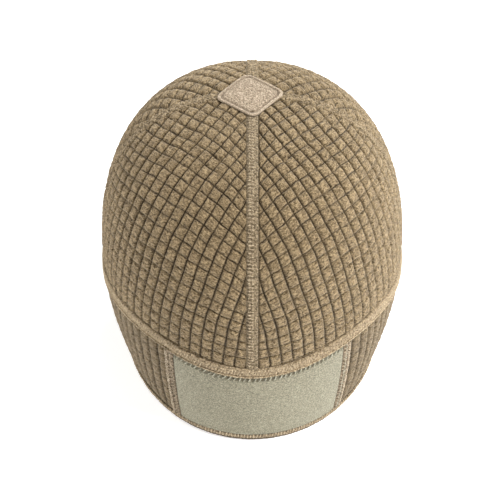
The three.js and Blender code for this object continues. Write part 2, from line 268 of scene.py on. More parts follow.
@dataclass(frozen=True)
class FlatCloth:
    """Where a point of the beanie lies on its flat cloth: a across the grain lines, b along them."""

    radius: float = 105.0
    grain_turn: float = 50.0
    first_line: float = 14.6
    grain_start: float = -1.2
    narrowing: float = 0.12
    fall: float = 0.2
    fall_length: float = 155.0
    side_bow: float = 0.0
    bow_start: float = 10.0
    wave: float = 0.25
    band_start: float = 102.75
    band_shift: float = 2.0
    band_level: float = 1.1

    # Drift of the grain lines towards the centre seam, at distances from the top
    drift_from_top: tuple[float, ...] = (0, 15, 30, 45, 60, 75, 95, 115, 135, 160, 200)
    drift: tuple[float, ...] = (0, 0.5, 2.3, 3.5, 3.0, 2.0, 0.8, -0.6, -2.8, -5.2, -9.0)

    def meridian_lengths(self, phi: Array, t: Array) -> Array:
        """Measure from the top to points along their own meridians.

        Args:
            phi: angles round the head.
            t: places down the meridians.

        Returns:
            Lengths in millimetres.
        """
        angles = np.linspace(phi.min(), phi.max(), 61)
        levels = np.linspace(0, 1.4, 701)
        chords = np.linalg.norm(np.diff(FORM.skin(angles[:, None], levels[None, :]), axis=1), axis=2)
        table = np.concatenate([np.zeros((len(angles), 1)), np.cumsum(chords, axis=1)], axis=1)
        place = (phi - angles[0]) / (angles[1] - angles[0])
        row = np.clip(place.astype(int), 0, len(angles) - 2)
        level = np.clip(t / levels[1], 0, len(levels) - 1.001)
        column = level.astype(int)
        rest, part = place - row, level - column
        low = table[row, column] * (1 - part) + table[row, column + 1] * part
        high = table[row + 1, column] * (1 - part) + table[row + 1, column + 1] * part
        return low * (1 - rest) + high * rest

    def waved(self, a: Array, b: Array) -> tuple[Array, Array]:
        """Make hand-sewn grain lines a little uneven.

        Args:
            a: places across the grain lines.
            b: places along them.

        Returns:
            The two places, each with a long and a short wave.
        """
        a_new = a + self.wave * (np.sin(TURN * b / 43 + a / 17) + 0.4 * np.sin(TURN * b / 17.7 - a / 9))
        b_new = b + self.wave * (np.sin(TURN * a / 37 + b / 21) + 0.8 * np.sin(TURN * a / 15.3 + b / 11))
        return a_new, b_new

    def gore(self, phi: Array, t: Array, right: bool, back: bool) -> tuple[Array, Array]:
        """Lay a gore flat.

        Args:
            phi: angles round the head.
            t: places down the meridians.
            right: true for a gore at +X, false for its mirror.
            back: true for a gore behind the side seam.

        Returns:
            The two cloth coordinates in millimetres.
        """
        around = phi if right else TURN - phi
        around = math.pi - around if back else around
        length = self.meridian_lengths(phi, t)
        delta = math.radians(self.grain_turn) - around
        bend = np.minimum(length / self.radius, math.pi / 2)
        u = self.radius * np.arcsin(np.sin(bend) * np.sin(delta))
        v = self.radius * np.arctan2(np.sin(bend) * np.cos(delta), np.cos(bend))
        v = v + np.maximum(length - self.radius * math.pi / 2, 0)
        u = u * (1 - self.narrowing * np.sin(np.minimum(v / self.radius, math.pi / 2)) ** 2)
        a = u - self.grain_start - np.interp(v, self.drift_from_top, self.drift)
        fall = self.fall * (v / self.fall_length) ** 2
        b = v - self.first_line - fall * u + self.side_bow * np.minimum(u - self.bow_start, 0) ** 2
        return self.waved(a, b)

    def band(self, phi: Array, z: Array) -> tuple[Array, Array]:
        """Lay the band flat: a round the head and b down from the band seam.

        Args:
            phi: angles round the head; those left of the front may be negative.
            z: heights.

        Returns:
            The two cloth coordinates in millimetres.
        """
        angles = np.linspace(0, TURN, 1441)
        chords = np.linalg.norm(np.diff(FORM.skin(angles, self.band_level), axis=0), axis=1)
        a = np.interp(phi + TURN * (phi < 0), angles, np.concatenate([[0.0], np.cumsum(chords)]))
        return self.waved(a + self.band_shift, FORM.band_seam(phi) - z + self.band_start)


class Graph:
    """A short way to place and link the nodes of one tree."""

    def __init__(self, tree: bpy.types.NodeTree) -> None:
        """Hold the tree that the nodes go into."""
        self.tree = tree

    def add(self, kind: str, inputs: dict | None = None, **settings: object) -> bpy.types.Node:
        """Place a node, set it and link its inputs.

        Args:
            kind: the node's type.
            inputs: sockets or values by the input's name or number.
            settings: properties of the node.

        Returns:
            The node.
        """
        node = self.tree.nodes.new(kind)
        node.location = (len(self.tree.nodes) % 12 * 190, -(len(self.tree.nodes) // 12) * 260)
        for key, value in settings.items():
            setattr(node, key, value)
        for key, value in (inputs or {}).items():
            if isinstance(value, Socket):
                self.tree.links.new(value, node.inputs[key])
            else:
                node.inputs[key].default_value = value
        return node

    def math(self, operation: str, *values: object) -> Socket:
        """Place a Math node and give its result."""
        return self.add("ShaderNodeMath", dict(enumerate(values)), operation=operation).outputs[0]

    def times(self, *values: object) -> Socket:
        """Multiply values."""
        return reduce(lambda first, second: self.math("MULTIPLY", first, second), values)

    def plus(self, *values: object) -> Socket:
        """Add values."""
        return reduce(lambda first, second: self.math("ADD", first, second), values)

    def minus(self, first: object, second: object) -> Socket:
        """Take one value from another."""
        return self.math("SUBTRACT", first, second)

    def vector(self, operation: str, first: object, second: object) -> Socket:
        """Place a Vector Math node and give its result."""
        return self.add("ShaderNodeVectorMath", {0: first, 1: second}, operation=operation).outputs[0]

    def scaled(self, vector: object, factor: object) -> Socket:
        """Multiply a vector by a number."""
        return self.add("ShaderNodeVectorMath", {0: vector, "Scale": factor}, operation="SCALE").outputs[0]

    def ramp(self, value: Socket, low: float, high: float, start: float = 0.0, end: float = 1.0) -> Socket:
        """Map a value smoothly from the range low to high to the range start to end."""
        keys = {"Value": value, "From Min": low, "From Max": high, "To Min": start, "To Max": end}
        return self.add("ShaderNodeMapRange", keys, interpolation_type="SMOOTHSTEP").outputs[0]

    def tint(self, colour: object, mask: Socket, tone: Colour) -> Socket:
        """Blend a colour towards a tone where a mask says."""
        keys = {0: mask, 6: colour, 7: (*tone, 1.0)}
        return self.add("ShaderNodeMix", keys, data_type="RGBA", blend_type="MIX").outputs[2]

    def noise(self, vector: Socket, scale: object, detail: float = 2.0, **more: object) -> Socket:
        """Place a Noise Texture, with more inputs by name, and give its grey value."""
        keys = {"Vector": vector, "Scale": scale, "Detail": detail, **more}
        return self.add("ShaderNodeTexNoise", keys).outputs[0]

    def lines(self, coordinate: Socket, pitch: Socket, width: Socket, power: float) -> tuple[Socket, ...]:
        """Mask the lines of one family.

        Args:
            coordinate: the place across them.
            pitch: the distance between them.
            width: half the width of one.
            power: how square its section is.

        Returns:
            The mask, the share of the pitch to the nearest line, and the place in pitches.
        """
        place = self.math("DIVIDE", coordinate, pitch)
        centred = self.math("ABSOLUTE", self.minus(self.math("FRACT", place), 0.5))
        far = self.minus(0.5, centred)
        off = self.math("DIVIDE", self.times(far, pitch), width)
        return self.math("EXPONENT", self.times(self.math("POWER", off, power), -1.0)), far, place

    def named(self, name: str, kind: str = "FLOAT_VECTOR") -> Socket:
        """Read an attribute of the mesh in a Geometry Nodes tree."""
        return self.add("GeometryNodeInputNamedAttribute", {"Name": name}, data_type=kind).outputs[0]

    def mask(self, name: str) -> Socket:
        """Read a mask of the mesh in a material."""
        return self.add("ShaderNodeAttribute", attribute_name=name, attribute_type="GEOMETRY").outputs["Fac"]

    def place(self) -> Socket:
        """Read the place on the object in a material."""
        return self.add("ShaderNodeTexCoord").outputs["Object"]


class Group:
    """A node tree with named inputs and outputs."""

    kinds = {float: "Float", int: "Int", tuple: "Vector"}

    def __init__(self, kind: str, name: str, inputs: dict[str, object], outputs: dict[str, str]) -> None:
        """Make the tree.

        Args:
            kind: the tree's type.
            name: its name.
            inputs: the default value of each input by name, or the name of a socket type that has none.
            outputs: the socket type of each output by name.
        """
        self.tree = bpy.data.node_groups.new(name, kind)
        self.sockets: dict[str, str] = {}
        for label, value in inputs.items():
            bare = isinstance(value, str)
            socket = "NodeSocket" + (value if bare else self.kinds[type(value)])
            item = self.tree.interface.new_socket(name=label, in_out="INPUT", socket_type=socket)
            self.sockets[label] = item.identifier
            if not bare:
                item.default_value = value
        for label, output in outputs.items():
            self.tree.interface.new_socket(name=label, in_out="OUTPUT", socket_type=f"NodeSocket{output}")
        self.graph = Graph(self.tree)
        self.given = self.graph.add("NodeGroupInput").outputs

    def close(self, *results: Socket) -> bpy.types.NodeTree:
        """End the tree with its results and give it."""
        self.graph.add("NodeGroupOutput", dict(enumerate(results)))
        return self.tree


class ShapeTree(Group):
    """A Geometry Nodes tree with named inputs, ending in Realize Instances and Set Material."""

    def __init__(self, name: str, inputs: dict[str, object]) -> None:
        """Make the tree and its named inputs."""
        inputs = {"Geometry": "Geometry", **inputs, "Material": "Material"}
        super().__init__("GeometryNodeTree", name, inputs, {"Geometry": "Geometry"})

    def finish(self, geometry: Socket) -> "ShapeTree":
        """End the tree: make instances real, shade them smooth and set the material.

        Args:
            geometry: what the tree has made.

        Returns:
            The finished tree.
        """
        real = self.graph.add("GeometryNodeRealizeInstances", {"Geometry": geometry})
        shaded = self.graph.add("GeometryNodeSetShadeSmooth", {"Geometry": real.outputs[0]})
        keys = {"Geometry": shaded.outputs[0], "Material": self.given["Material"]}
        self.close(self.graph.add("GeometryNodeSetMaterial", keys).outputs[0])
        return self

    def shape(self, piece: Piece, material: Material, values: dict[str, float]) -> None:
        """Run the tree on a piece and keep the result as its plain mesh.

        Args:
            piece: the object that holds the starting mesh.
            material: what the result is made of.
            values: the inputs that differ from their defaults, by name.
        """
        modifier = piece.modifiers.new("shape", "NODES")
        modifier.node_group = self.tree
        for label, value in {**values, "Material": material}.items():
            modifier[self.sockets[label]] = value
        evaluated = piece.evaluated_get(bpy.context.evaluated_depsgraph_get())
        mesh = bpy.data.meshes.new_from_object(evaluated)
        piece.modifiers.remove(modifier)
        old, piece.data = piece.data, mesh
        mesh.name = piece.name
        bpy.data.meshes.remove(old)


def make_relief_tree() -> ShapeTree:
    """Build the tree that raises fleece into soft squares between grooves.

    Returns:
        The tree. It reads the attributes cloth (a and b in millimetres), out (the way outwards) and ease.
    """
    inputs = {
        "Pitch Across": 7.05, "Pitch Along": 6.75, "Line Width": 0.62, "Line Depth": 1.2, "Cross Width": 0.62,
        "Cross Depth": 1.3, "Crown": 0.32, "Crinkle": 0.42, "Lumps": 0.3,
    }
    made = ShapeTree("fleece_relief", inputs)
    g, given = made.graph, made.given
    cloth = g.named("cloth")
    across, along, _ = g.add("ShaderNodeSeparateXYZ", {0: cloth}).outputs
    groove, far, _ = g.lines(across, given["Pitch Across"], given["Line Width"], 1.6)
    cross_groove, cross_far, _ = g.lines(along, given["Pitch Along"], given["Cross Width"], 1.6)
    tops = g.times(*(g.math("SINE", g.times(share, math.pi)) for share in (far, cross_far)), given["Crown"])
    uneven = g.ramp(g.noise(g.scaled(cloth, 0.09), 1.0, 1.0), 0.3, 0.7, 0.35, 1.25)
    faded = g.times(uneven, g.ramp(along, *LOW_CLOTH, 1.0, 0.75))
    crosses = g.times(cross_groove, given["Cross Depth"], faded)
    dips = g.math("MAXIMUM", g.times(groove, given["Line Depth"]), crosses)
    fine = g.minus(g.noise(g.vector("MULTIPLY", cloth, (0.48, 0.95, 1.0)), 1.0, 1.5), 0.5)
    ripple = g.times(fine, g.ramp(along, *LOW_CLOTH, 1.5, 2.8), given["Crinkle"])
    lump = g.times(g.minus(g.noise(g.scaled(cloth, 0.16), 1.0, 1.0), 0.5), given["Lumps"])
    height = g.plus(g.minus(tops, dips), ripple, lump)
    offset = g.scaled(g.named("out"), g.times(height, g.named("ease", "FLOAT"), MM))
    moved = g.add("GeometryNodeSetPosition", {"Geometry": given["Geometry"], "Offset": offset})
    return made.finish(moved.outputs[0])


def make_stitch_tree() -> ShapeTree:
    """Build the tree that lays one thread stitch on each point.

    Returns:
        The tree. It reads the attributes along, up and size.
    """
    inputs = {"Length": 1.8, "Rise": 0.3, "Sink": 0.25, "Thread Radius": 0.27, "Bends": 4, "Sides": 5}
    made = ShapeTree("thread_stitches", inputs)
    g, given = made.graph, made.given
    half = g.times(given["Length"], 0.5 * MM)
    sink = g.times(given["Sink"], -MM)
    start = g.add("ShaderNodeCombineXYZ", {0: g.times(half, -1.0), 2: sink}).outputs[0]
    middle = g.add("ShaderNodeCombineXYZ", {2: g.times(given["Rise"], 2.0 * MM)}).outputs[0]
    end = g.add("ShaderNodeCombineXYZ", {0: half, 2: sink}).outputs[0]
    keys = {"Resolution": given["Bends"], "Start": start, "Middle": middle, "End": end}
    arc = g.add("GeometryNodeCurveQuadraticBezier", keys).outputs[0]
    keys = {"Resolution": given["Sides"], "Radius": g.times(given["Thread Radius"], MM)}
    circle = g.add("GeometryNodeCurvePrimitiveCircle", keys).outputs[0]
    keys = {"Curve": arc, "Profile Curve": circle, "Fill Caps": True}
    thread = g.add("GeometryNodeCurveToMesh", keys).outputs[0]
    keys = {"Primary Axis": g.named("up"), "Secondary Axis": g.named("along")}
    turn = g.add("FunctionNodeAxesToRotation", keys, primary_axis="Z", secondary_axis="X").outputs[0]
    size = g.named("size", "FLOAT")
    keys = {"Points": given["Geometry"], "Instance": thread, "Rotation": turn, "Scale": size}
    return made.finish(g.add("GeometryNodeInstanceOnPoints", keys).outputs[0])


class SeamPath:
    """A line on the beanie that stitches, ribbons and edges follow."""

    def __init__(self, places: Array, line: Array) -> None:
        """Measure the line through its parameter values and its points in millimetres."""
        self.places = places
        self.lengths = np.concatenate([[0.0], np.cumsum(np.linalg.norm(np.diff(line, axis=0), axis=1))])

    @property
    def length(self) -> float:
        """Give the line's length in millimetres."""
        return float(self.lengths[-1])

    def place(self, along: Array) -> Array:
        """Turn lengths along the line into its parameter."""
        return np.interp(along, self.lengths, self.places)

    def points(self, along: Array, beside: Array, out: Array) -> Array:
        """Find points by length along the line, distance to its side and distance out of the fleece."""
        raise NotImplementedError

    def axes(self, along: Array, beside: Array, out: Array) -> tuple[Array, Array, Array, Array]:
        """Find points and the directions along, beside and out there.

        Args:
            along: lengths along the line.
            beside: distances to its side.
            out: distances out.

        Returns:
            Points, directions along, directions to the side, and outward directions.
        """
        step = 0.2
        here = self.points(along, beside, out)
        ahead = unit(self.points(along + step, beside, out) - self.points(along - step, beside, out))
        side = unit(self.points(along, beside + step, out) - self.points(along, beside - step, out))
        up = unit(self.points(along, beside, out + step) - here)
        side = unit(side - ahead * np.sum(side * ahead, axis=-1, keepdims=True))
        normal = unit(np.cross(ahead, side))
        return here, ahead, side, normal * np.sign(np.sum(normal * up, axis=-1, keepdims=True))


class CrownPath(SeamPath):
    """One crown seam, from near the top of the head down to the band."""

    def __init__(self, seam: Seam, start: float) -> None:
        """Measure the seam.

        Args:
            seam: the seam.
            start: how far from the top it starts, in the plan.
        """
        self.seam = seam
        angle = math.radians(seam.value)
        x, back = start * math.sin(angle), -start * math.cos(angle)
        phi, t = FORM.under_plan(np.array(x), np.array(FORM.apex_back + back))
        share = np.linspace(float(t / FORM.crown_edge(phi)), 1.004, 500)
        super().__init__(share, FORM.skin(angle, share * FORM.crown_edge(angle)))

    def points(self, along: Array, beside: Array, out: Array) -> Array:
        """Find points of the crown.

        Args:
            along: lengths along the seam.
            beside: distances to its side.
            out: distances out.

        Returns:
            Points in millimetres.
        """
        along, beside, out = np.broadcast_arrays(along, beside, out)
        share = self.place(along)
        phi = FORM.beside(self.seam, beside, share)
        t = share * FORM.crown_edge(phi)
        return FORM.skin(phi, t) + FORM.normal(phi, t) * out[..., None]


class RoundPath(SeamPath):
    """A line round the head below the crown: the band seam, the hem or an edge of the loop panel."""

    def __init__(self, height: Callable[[Array], Array], start: float = 0.0, end: float = 360.0) -> None:
        """Measure the line.

        Args:
            height: gives the height in millimetres at an angle.
            start: the angle it starts at, in degrees.
            end: the angle it ends at.
        """
        self.height = height
        phi = np.radians(np.linspace(start, end, 1441))
        super().__init__(phi, FORM.level_out(phi, height(phi), 0.0))

    def points(self, along: Array, beside: Array, out: Array) -> Array:
        """Find points of the band.

        Args:
            along: lengths along the line.
            beside: distances above it.
            out: distances out.

        Returns:
            Points in millimetres.
        """
        along, beside, out = np.broadcast_arrays(along, beside, out)
        per_length = (self.places[-1] - self.places[0]) / self.length
        phi = self.place(along) + (along - np.clip(along, 0, self.length)) * per_length
        return FORM.level_out(phi, self.height(phi) + beside, out)


class UprightPath(SeamPath):
    """An upright line on the band, from under the band seam down to the hem."""

    def __init__(self, angle: float, top: float, bottom: float) -> None:
        """Measure the line.

        Args:
            angle: its place round the head, in degrees.
            top: the height it starts at.
            bottom: the height it ends at.
        """
        self.angle = math.radians(angle)
        height = np.linspace(top, bottom, 200)
        super().__init__(height, FORM.level_out(self.angle, height, 0.0))
        side = FORM.skin(self.angle + 0.01, 1.5) - FORM.skin(self.angle - 0.01, 1.5)
        self.radius = float(np.linalg.norm(side) / 0.02)

    def points(self, along: Array, beside: Array, out: Array) -> Array:
        """Find points by length down, distance round the head and distance out."""
        along, beside, out = np.broadcast_arrays(along, beside, out)
        return FORM.level_out(self.angle + beside / self.radius, self.place(along), out)


def make_piece(name: str, points: Array, faces: list, attributes: dict[str, Array]) -> Piece:
    """Make an object with one mesh, smooth shaded.

    Args:
        name: the piece's name.
        points: its vertices in millimetres.
        faces: vertex numbers of each face.
        attributes: values for each vertex, by name; two numbers make a UV map.

    Returns:
        The object, at the origin.
    """
    mesh = bpy.data.meshes.new(name)
    mesh.from_pydata((points.reshape(-1, 3) * MM).tolist(), [], faces)
    mesh.polygons.foreach_set("use_smooth", np.ones(len(mesh.polygons), bool))
    for label, values in attributes.items():
        values = np.asarray(values, np.float32)
        if values.ndim == 1:
            mesh.attributes.new(label, "FLOAT", "POINT").data.foreach_set("value", values)
        elif values.shape[1] == 2:
            corners = np.empty(len(mesh.loops), np.int32)
            mesh.loops.foreach_get("vertex_index", corners)
            mesh.uv_layers.new(name=label).data.foreach_set("uv", values[corners].ravel())
        else:
            mesh.attributes.new(label, "FLOAT_VECTOR", "POINT").data.foreach_set("vector", values.ravel())
    mesh.update()
    piece = bpy.data.objects.new(name, mesh)
    bpy.context.scene.collection.objects.link(piece)
    return piece


def settle(piece: Piece, node: str) -> None:
    """Fix a piece to the beanie, hide the solid that it stands for and log its triangles.

    Args:
        piece: the object.
        node: the solid that it replaces.
    """
    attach(piece, "root")
    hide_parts(node)
    piece.data.calc_loop_triangles()
    LOG.info("%s: %d triangles", piece.name, len(piece.data.loop_triangles))


def slab_faces(rows: int, columns: int, stride: int) -> tuple[list, int]:
    """List the faces of a closed slab: a fine outer grid, a coarser inner grid and the rim between.

    Args:
        rows: rows of points in the outer grid.
        columns: columns of points in the outer grid.
        stride: how many fine steps make one coarse step.

    Returns:
        The faces, and the number of inner vertices.
    """
    fine = np.arange(rows * columns).reshape(rows, columns)
    inner_shape = ((rows - 1) // stride + 1, (columns - 1) // stride + 1)
    coarse = fine.size + np.arange(inner_shape[0] * inner_shape[1]).reshape(inner_shape)
    outside = np.stack([fine[:-1, :-1], fine[1:, :-1], fine[1:, 1:], fine[:-1, 1:]], axis=-1)
    inside = np.stack([coarse[:-1, :-1], coarse[:-1, 1:], coarse[1:, 1:], coarse[1:, :-1]], axis=-1)
    faces = outside.reshape(-1, 4).tolist() + inside.reshape(-1, 4).tolist()
    sides = (np.s_[0], np.s_[:, -1], np.s_[-1, ::-1], np.s_[::-1, 0])
    for outer, inner in ((fine[side].tolist(), coarse[side].tolist()) for side in sides):
        for number, (here, ahead) in enumerate(zip(inner, inner[1:])):
            run = outer[number * stride:(number + 1) * stride + 1]
            faces.extend((first, second, here) for first, second in zip(run, run[1:]))
            faces.append((run[-1], ahead, here))
    return faces, coarse.size


def swept_faces(stations: int, section: int, ring: bool, pole: bool) -> list:
    """List the faces of a closed section carried along a line.

    Args:
        stations: how many sections there are.
        section: points in each section.
        ring: true if the line closes on itself; otherwise the ends are capped.
        pole: true if each section starts and ends on the same two points, so that it isn't closed.

    Returns:
        The faces.
    """
    grid = np.arange(stations * section).reshape(stations, section)
    ahead = np.roll(grid, -1, axis=0) if ring else grid[1:]
    here = grid if ring else grid[:-1]
    quads = np.stack([here, np.roll(here, -1, axis=1), np.roll(ahead, -1, axis=1), ahead], axis=-1)
    faces = quads[:, :-1 if pole else None].reshape(-1, 4).tolist()
    return faces if ring else faces + [grid[0, ::-1].tolist(), grid[-1].tolist()]


def close_sweep(name: str, points: Array, masks: dict[str, Array], material: Material, ring: bool = True,
                pole: bool = False) -> Piece:
    """Make a closed piece from sections, merge its doubles and turn its faces outwards.

    Args:
        name: its name.
        points: points by station and place in the section.
        masks: values of each point, by name.
        material: what it is made of.
        ring: true if the sections close on themselves.
        pole: true if each section starts and ends on the same two points.

    Returns:
        The piece.
    """
    faces = swept_faces(points.shape[0], points.shape[1], ring, pole)
    piece = make_piece(name, points, faces, {label: mask.ravel() for label, mask in masks.items()})
    shell = bmesh.new()
    shell.from_mesh(piece.data)
    bmesh.ops.remove_doubles(shell, verts=shell.verts, dist=1e-7)
    bmesh.ops.recalc_face_normals(shell, faces=shell.faces)
    shell.to_mesh(piece.data)
    shell.free()
    piece.data.materials.append(material)
    return piece


def make_fibre_group() -> bpy.types.NodeTree:
    """Build the fuzz of fibres that every cloth here has.

    Returns:
        The group: a shade from 0 to 1 and a height from 0 to 1.
    """
    inputs = {"Vector": (0.0, 0.0, 0.0), "Fibres per Metre": 1500.0, "Clumps": 0.35}
    made = Group("ShaderNodeTree", "cloth_fibres", inputs, {"Shade": "Float", "Height": "Float"})
    g, given = made.graph, made.given
    fine = g.noise(given["Vector"], given["Fibres per Metre"], 3.0, Roughness=0.6)
    wide = g.times(given["Fibres per Metre"], given["Clumps"])
    clump = g.noise(given["Vector"], wide, Distortion=0.6)
    shade = g.plus(g.times(fine, 0.55), g.times(clump, 0.45))
    return made.close(g.ramp(shade, 0.35, 0.65), g.plus(g.times(fine, 0.35), g.times(clump, 0.65)))


def make_crinkle_group() -> bpy.types.NodeTree:
    """Build the crinkles of brushed knit: small ridges with creases between them, which the materials paint
    lighter and darker as painted highlight and shade.

    Returns:
        The group: a shade from 0 to 1, which is the height too, and a mask of the creases.
    """
    inputs = {"Cloth": (0.0, 0.0, 0.0), "Stretch": (0.55, 1.3, 1.0), "Swirl": 1.1}
    made = Group("ShaderNodeTree", "cloth_crinkles", inputs, {"Shade": "Float", "Creases": "Float"})
    g, given = made.graph, made.given
    laid = g.vector("MULTIPLY", given["Cloth"], given["Stretch"])
    ridge = g.noise(laid, 1.0, 1.6, Distortion=given["Swirl"])
    return made.close(g.ramp(ridge, 0.38, 0.6), g.ramp(ridge, 0.33, 0.44, 1.0, 0.0))


def make_grid_group() -> bpy.types.NodeTree:
    """Build the dark lines of grid fleece from its cloth coordinates.

    Returns:
        The group: masks of the lines along and across, a grey value for each square, a rise to 1 low down,
        and masks of the short folds that lie across the cloth there and of the ridges beside them.
    """
    inputs = {
        "Cloth": (0.0, 0.0, 0.0), "Pitch Across": 7.05, "Pitch Along": 6.75, "Line Width": 0.42,
        "Cross Width": 0.32, "Wobble": 0.5,
    }
    outputs = dict.fromkeys(("Lines", "Crosses", "Square", "Low", "Folds", "Ridges"), "Float")
    made = Group("ShaderNodeTree", "fleece_grid", inputs, outputs)
    g, given = made.graph, made.given
    keys = {"Vector": given["Cloth"], "Scale": 0.9, "Detail": 2.0}
    stray = g.vector("SUBTRACT", g.add("ShaderNodeTexNoise", keys).outputs["Color"], (0.5, 0.5, 0.5))
    strayed = g.vector("ADD", given["Cloth"], g.scaled(stray, given["Wobble"]))
    across, along, _ = g.add("ShaderNodeSeparateXYZ", {0: strayed}).outputs
    lines, _, column = g.lines(across, given["Pitch Across"], given["Line Width"], 2.0)
    crosses, _, row = g.lines(along, given["Pitch Along"], given["Cross Width"], 2.0)
    cell = g.add("ShaderNodeCombineXYZ", {0: g.math("FLOOR", column), 1: g.math("FLOOR", row)}).outputs[0]
    square = g.add("ShaderNodeTexWhiteNoise", {0: cell}, noise_dimensions="2D").outputs[0]
    low = g.ramp(along, *LOW_CLOTH)
    wave = g.noise(g.vector("MULTIPLY", strayed, (0.55, 1.75, 1.0)), 1.0, 1.0, Distortion=0.9)
    folds = g.times(g.ramp(wave, 0.36, 0.47, 1.0, 0.0), low)
    return made.close(lines, crosses, square, low, folds, g.times(g.ramp(wave, 0.53, 0.63), low))


@dataclass(frozen=True)
class ClothFinish:
    """What every cloth finish here has: three tones, roughness, sheen, fibres, crinkles and bump."""

    name: str
    base: Colour
    deep: Colour
    light: Colour
    roughness: float = 0.95
    sheen: float = 0.3
    sheen_tint: Colour = (0.86, 0.76, 0.6)
    fibres: float = 1700.0
    clumps: float = 0.35
    fibre_share: float = 0.35
    crinkle_share: float = 0.5
    stretch: tuple[float, float, float] = (1.0, 1.0, 1.0)
    swirl: float = 0.8
    creases: float = 0.5
    bump: float = 0.8
    bump_depth: float = 0.0006

    def surface(self, g: Graph, groups: dict[str, bpy.types.NodeTree]) -> tuple[Socket, Socket]:
        """Give the colour and the height; each kind of finish has its own way."""
        raise NotImplementedError

    def mixed(self, g: Graph, cloth: Socket, other: Socket, groups: dict[str, bpy.types.NodeTree]) -> tuple:
        """Mix fibres and crinkles into a colour and a height.

        Args:
            g: the material's graph.
            cloth: the place on the cloth in millimetres.
            other: one more shade from 0 to 1 that takes the rest of the share.
            groups: the shared node groups.

        Returns:
            The colour and the height.
        """
        keys = {"Vector": g.place(), "Fibres per Metre": self.fibres, "Clumps": self.clumps}
        fibre = g.add("ShaderNodeGroup", keys, node_tree=groups["fibres"]).outputs
        keys = {"Cloth": cloth, "Stretch": self.stretch, "Swirl": self.swirl}
        crinkle = g.add("ShaderNodeGroup", keys, node_tree=groups["crinkles"]).outputs
        # The crinkles' share of the tone is painted highlight on their ridges and painted shade in their
        # hollows; the fibres and the other share vary the tone at random.
        shade = g.plus(
            g.times(fibre["Shade"], self.fibre_share), g.times(crinkle["Shade"], self.crinkle_share),
            g.times(other, 1.0 - self.fibre_share - self.crinkle_share),
        )
        low = g.tint((*self.deep, 1.0), g.ramp(shade, 0.05, 0.5), self.base)
        tone = g.tint(low, g.ramp(shade, 0.5, 0.95), self.light)
        # Painted shade in the creases between the crinkles.
        colour = g.tint(tone, g.times(crinkle["Creases"], self.creases), self.deep)
        return colour, g.plus(g.times(fibre["Height"], 0.4), g.times(crinkle["Shade"], 0.6))

    def material(self, groups: dict[str, bpy.types.NodeTree]) -> Material:
        """Build the material.

        Args:
            groups: the shared node groups.

        Returns:
            The material.
        """
        made = bpy.data.materials.new(self.name)
        made.use_nodes = True
        made.node_tree.nodes.clear()
        g = Graph(made.node_tree)
        colour, height = self.surface(g, groups)
        keys = {"Strength": self.bump, "Distance": self.bump_depth, "Height": height}
        keys = {
            "Base Color": colour, "Roughness": self.roughness, "Sheen Weight": self.sheen,
            "Sheen Roughness": 0.5, "Sheen Tint": (*self.sheen_tint, 1.0), "Specular IOR Level": 0.15,
            "Normal": g.add("ShaderNodeBump", keys).outputs[0],
        }
        g.add("ShaderNodeOutputMaterial", {0: g.add("ShaderNodeBsdfPrincipled", keys).outputs[0]})
        return made


@dataclass(frozen=True)
class PlainFinish(ClothFinish):
    """Cloth with a slow drift of tone, paler where the mask pale says and darker with painted shade where the
    mask edge says.
    """

    drift: float = 60.0
    # The edge mask holds painted shade: in needle pits, grooves, sunk edges and strips, and under the patch.
    edge: bool = False
    edge_shade_colour: Colour = (0.035, 0.025, 0.015)
    pale: bool = False

    def surface(self, g: Graph, groups: dict[str, bpy.types.NodeTree]) -> tuple[Socket, Socket]:
        """Give the colour and the height.

        Args:
            g: the material's graph.
            groups: the shared node groups.

        Returns:
            The colour and the height.
        """
        cloth = g.scaled(g.place(), 1.0 / MM)
        colour, height = self.mixed(g, cloth, g.noise(g.place(), self.drift), groups)
        if self.pale:
            colour = g.tint(colour, g.mask("pale"), self.light)
        if self.edge:
            colour = g.tint(colour, g.mask("edge"), self.edge_shade_colour)
        return colour, height


@dataclass(frozen=True)
class ThreadFinish(PlainFinish):
    """Sewing thread: finer fibres and a low bump."""

    fibres: float = 3000.0
    creases: float = 0.2
    bump: float = 0.3


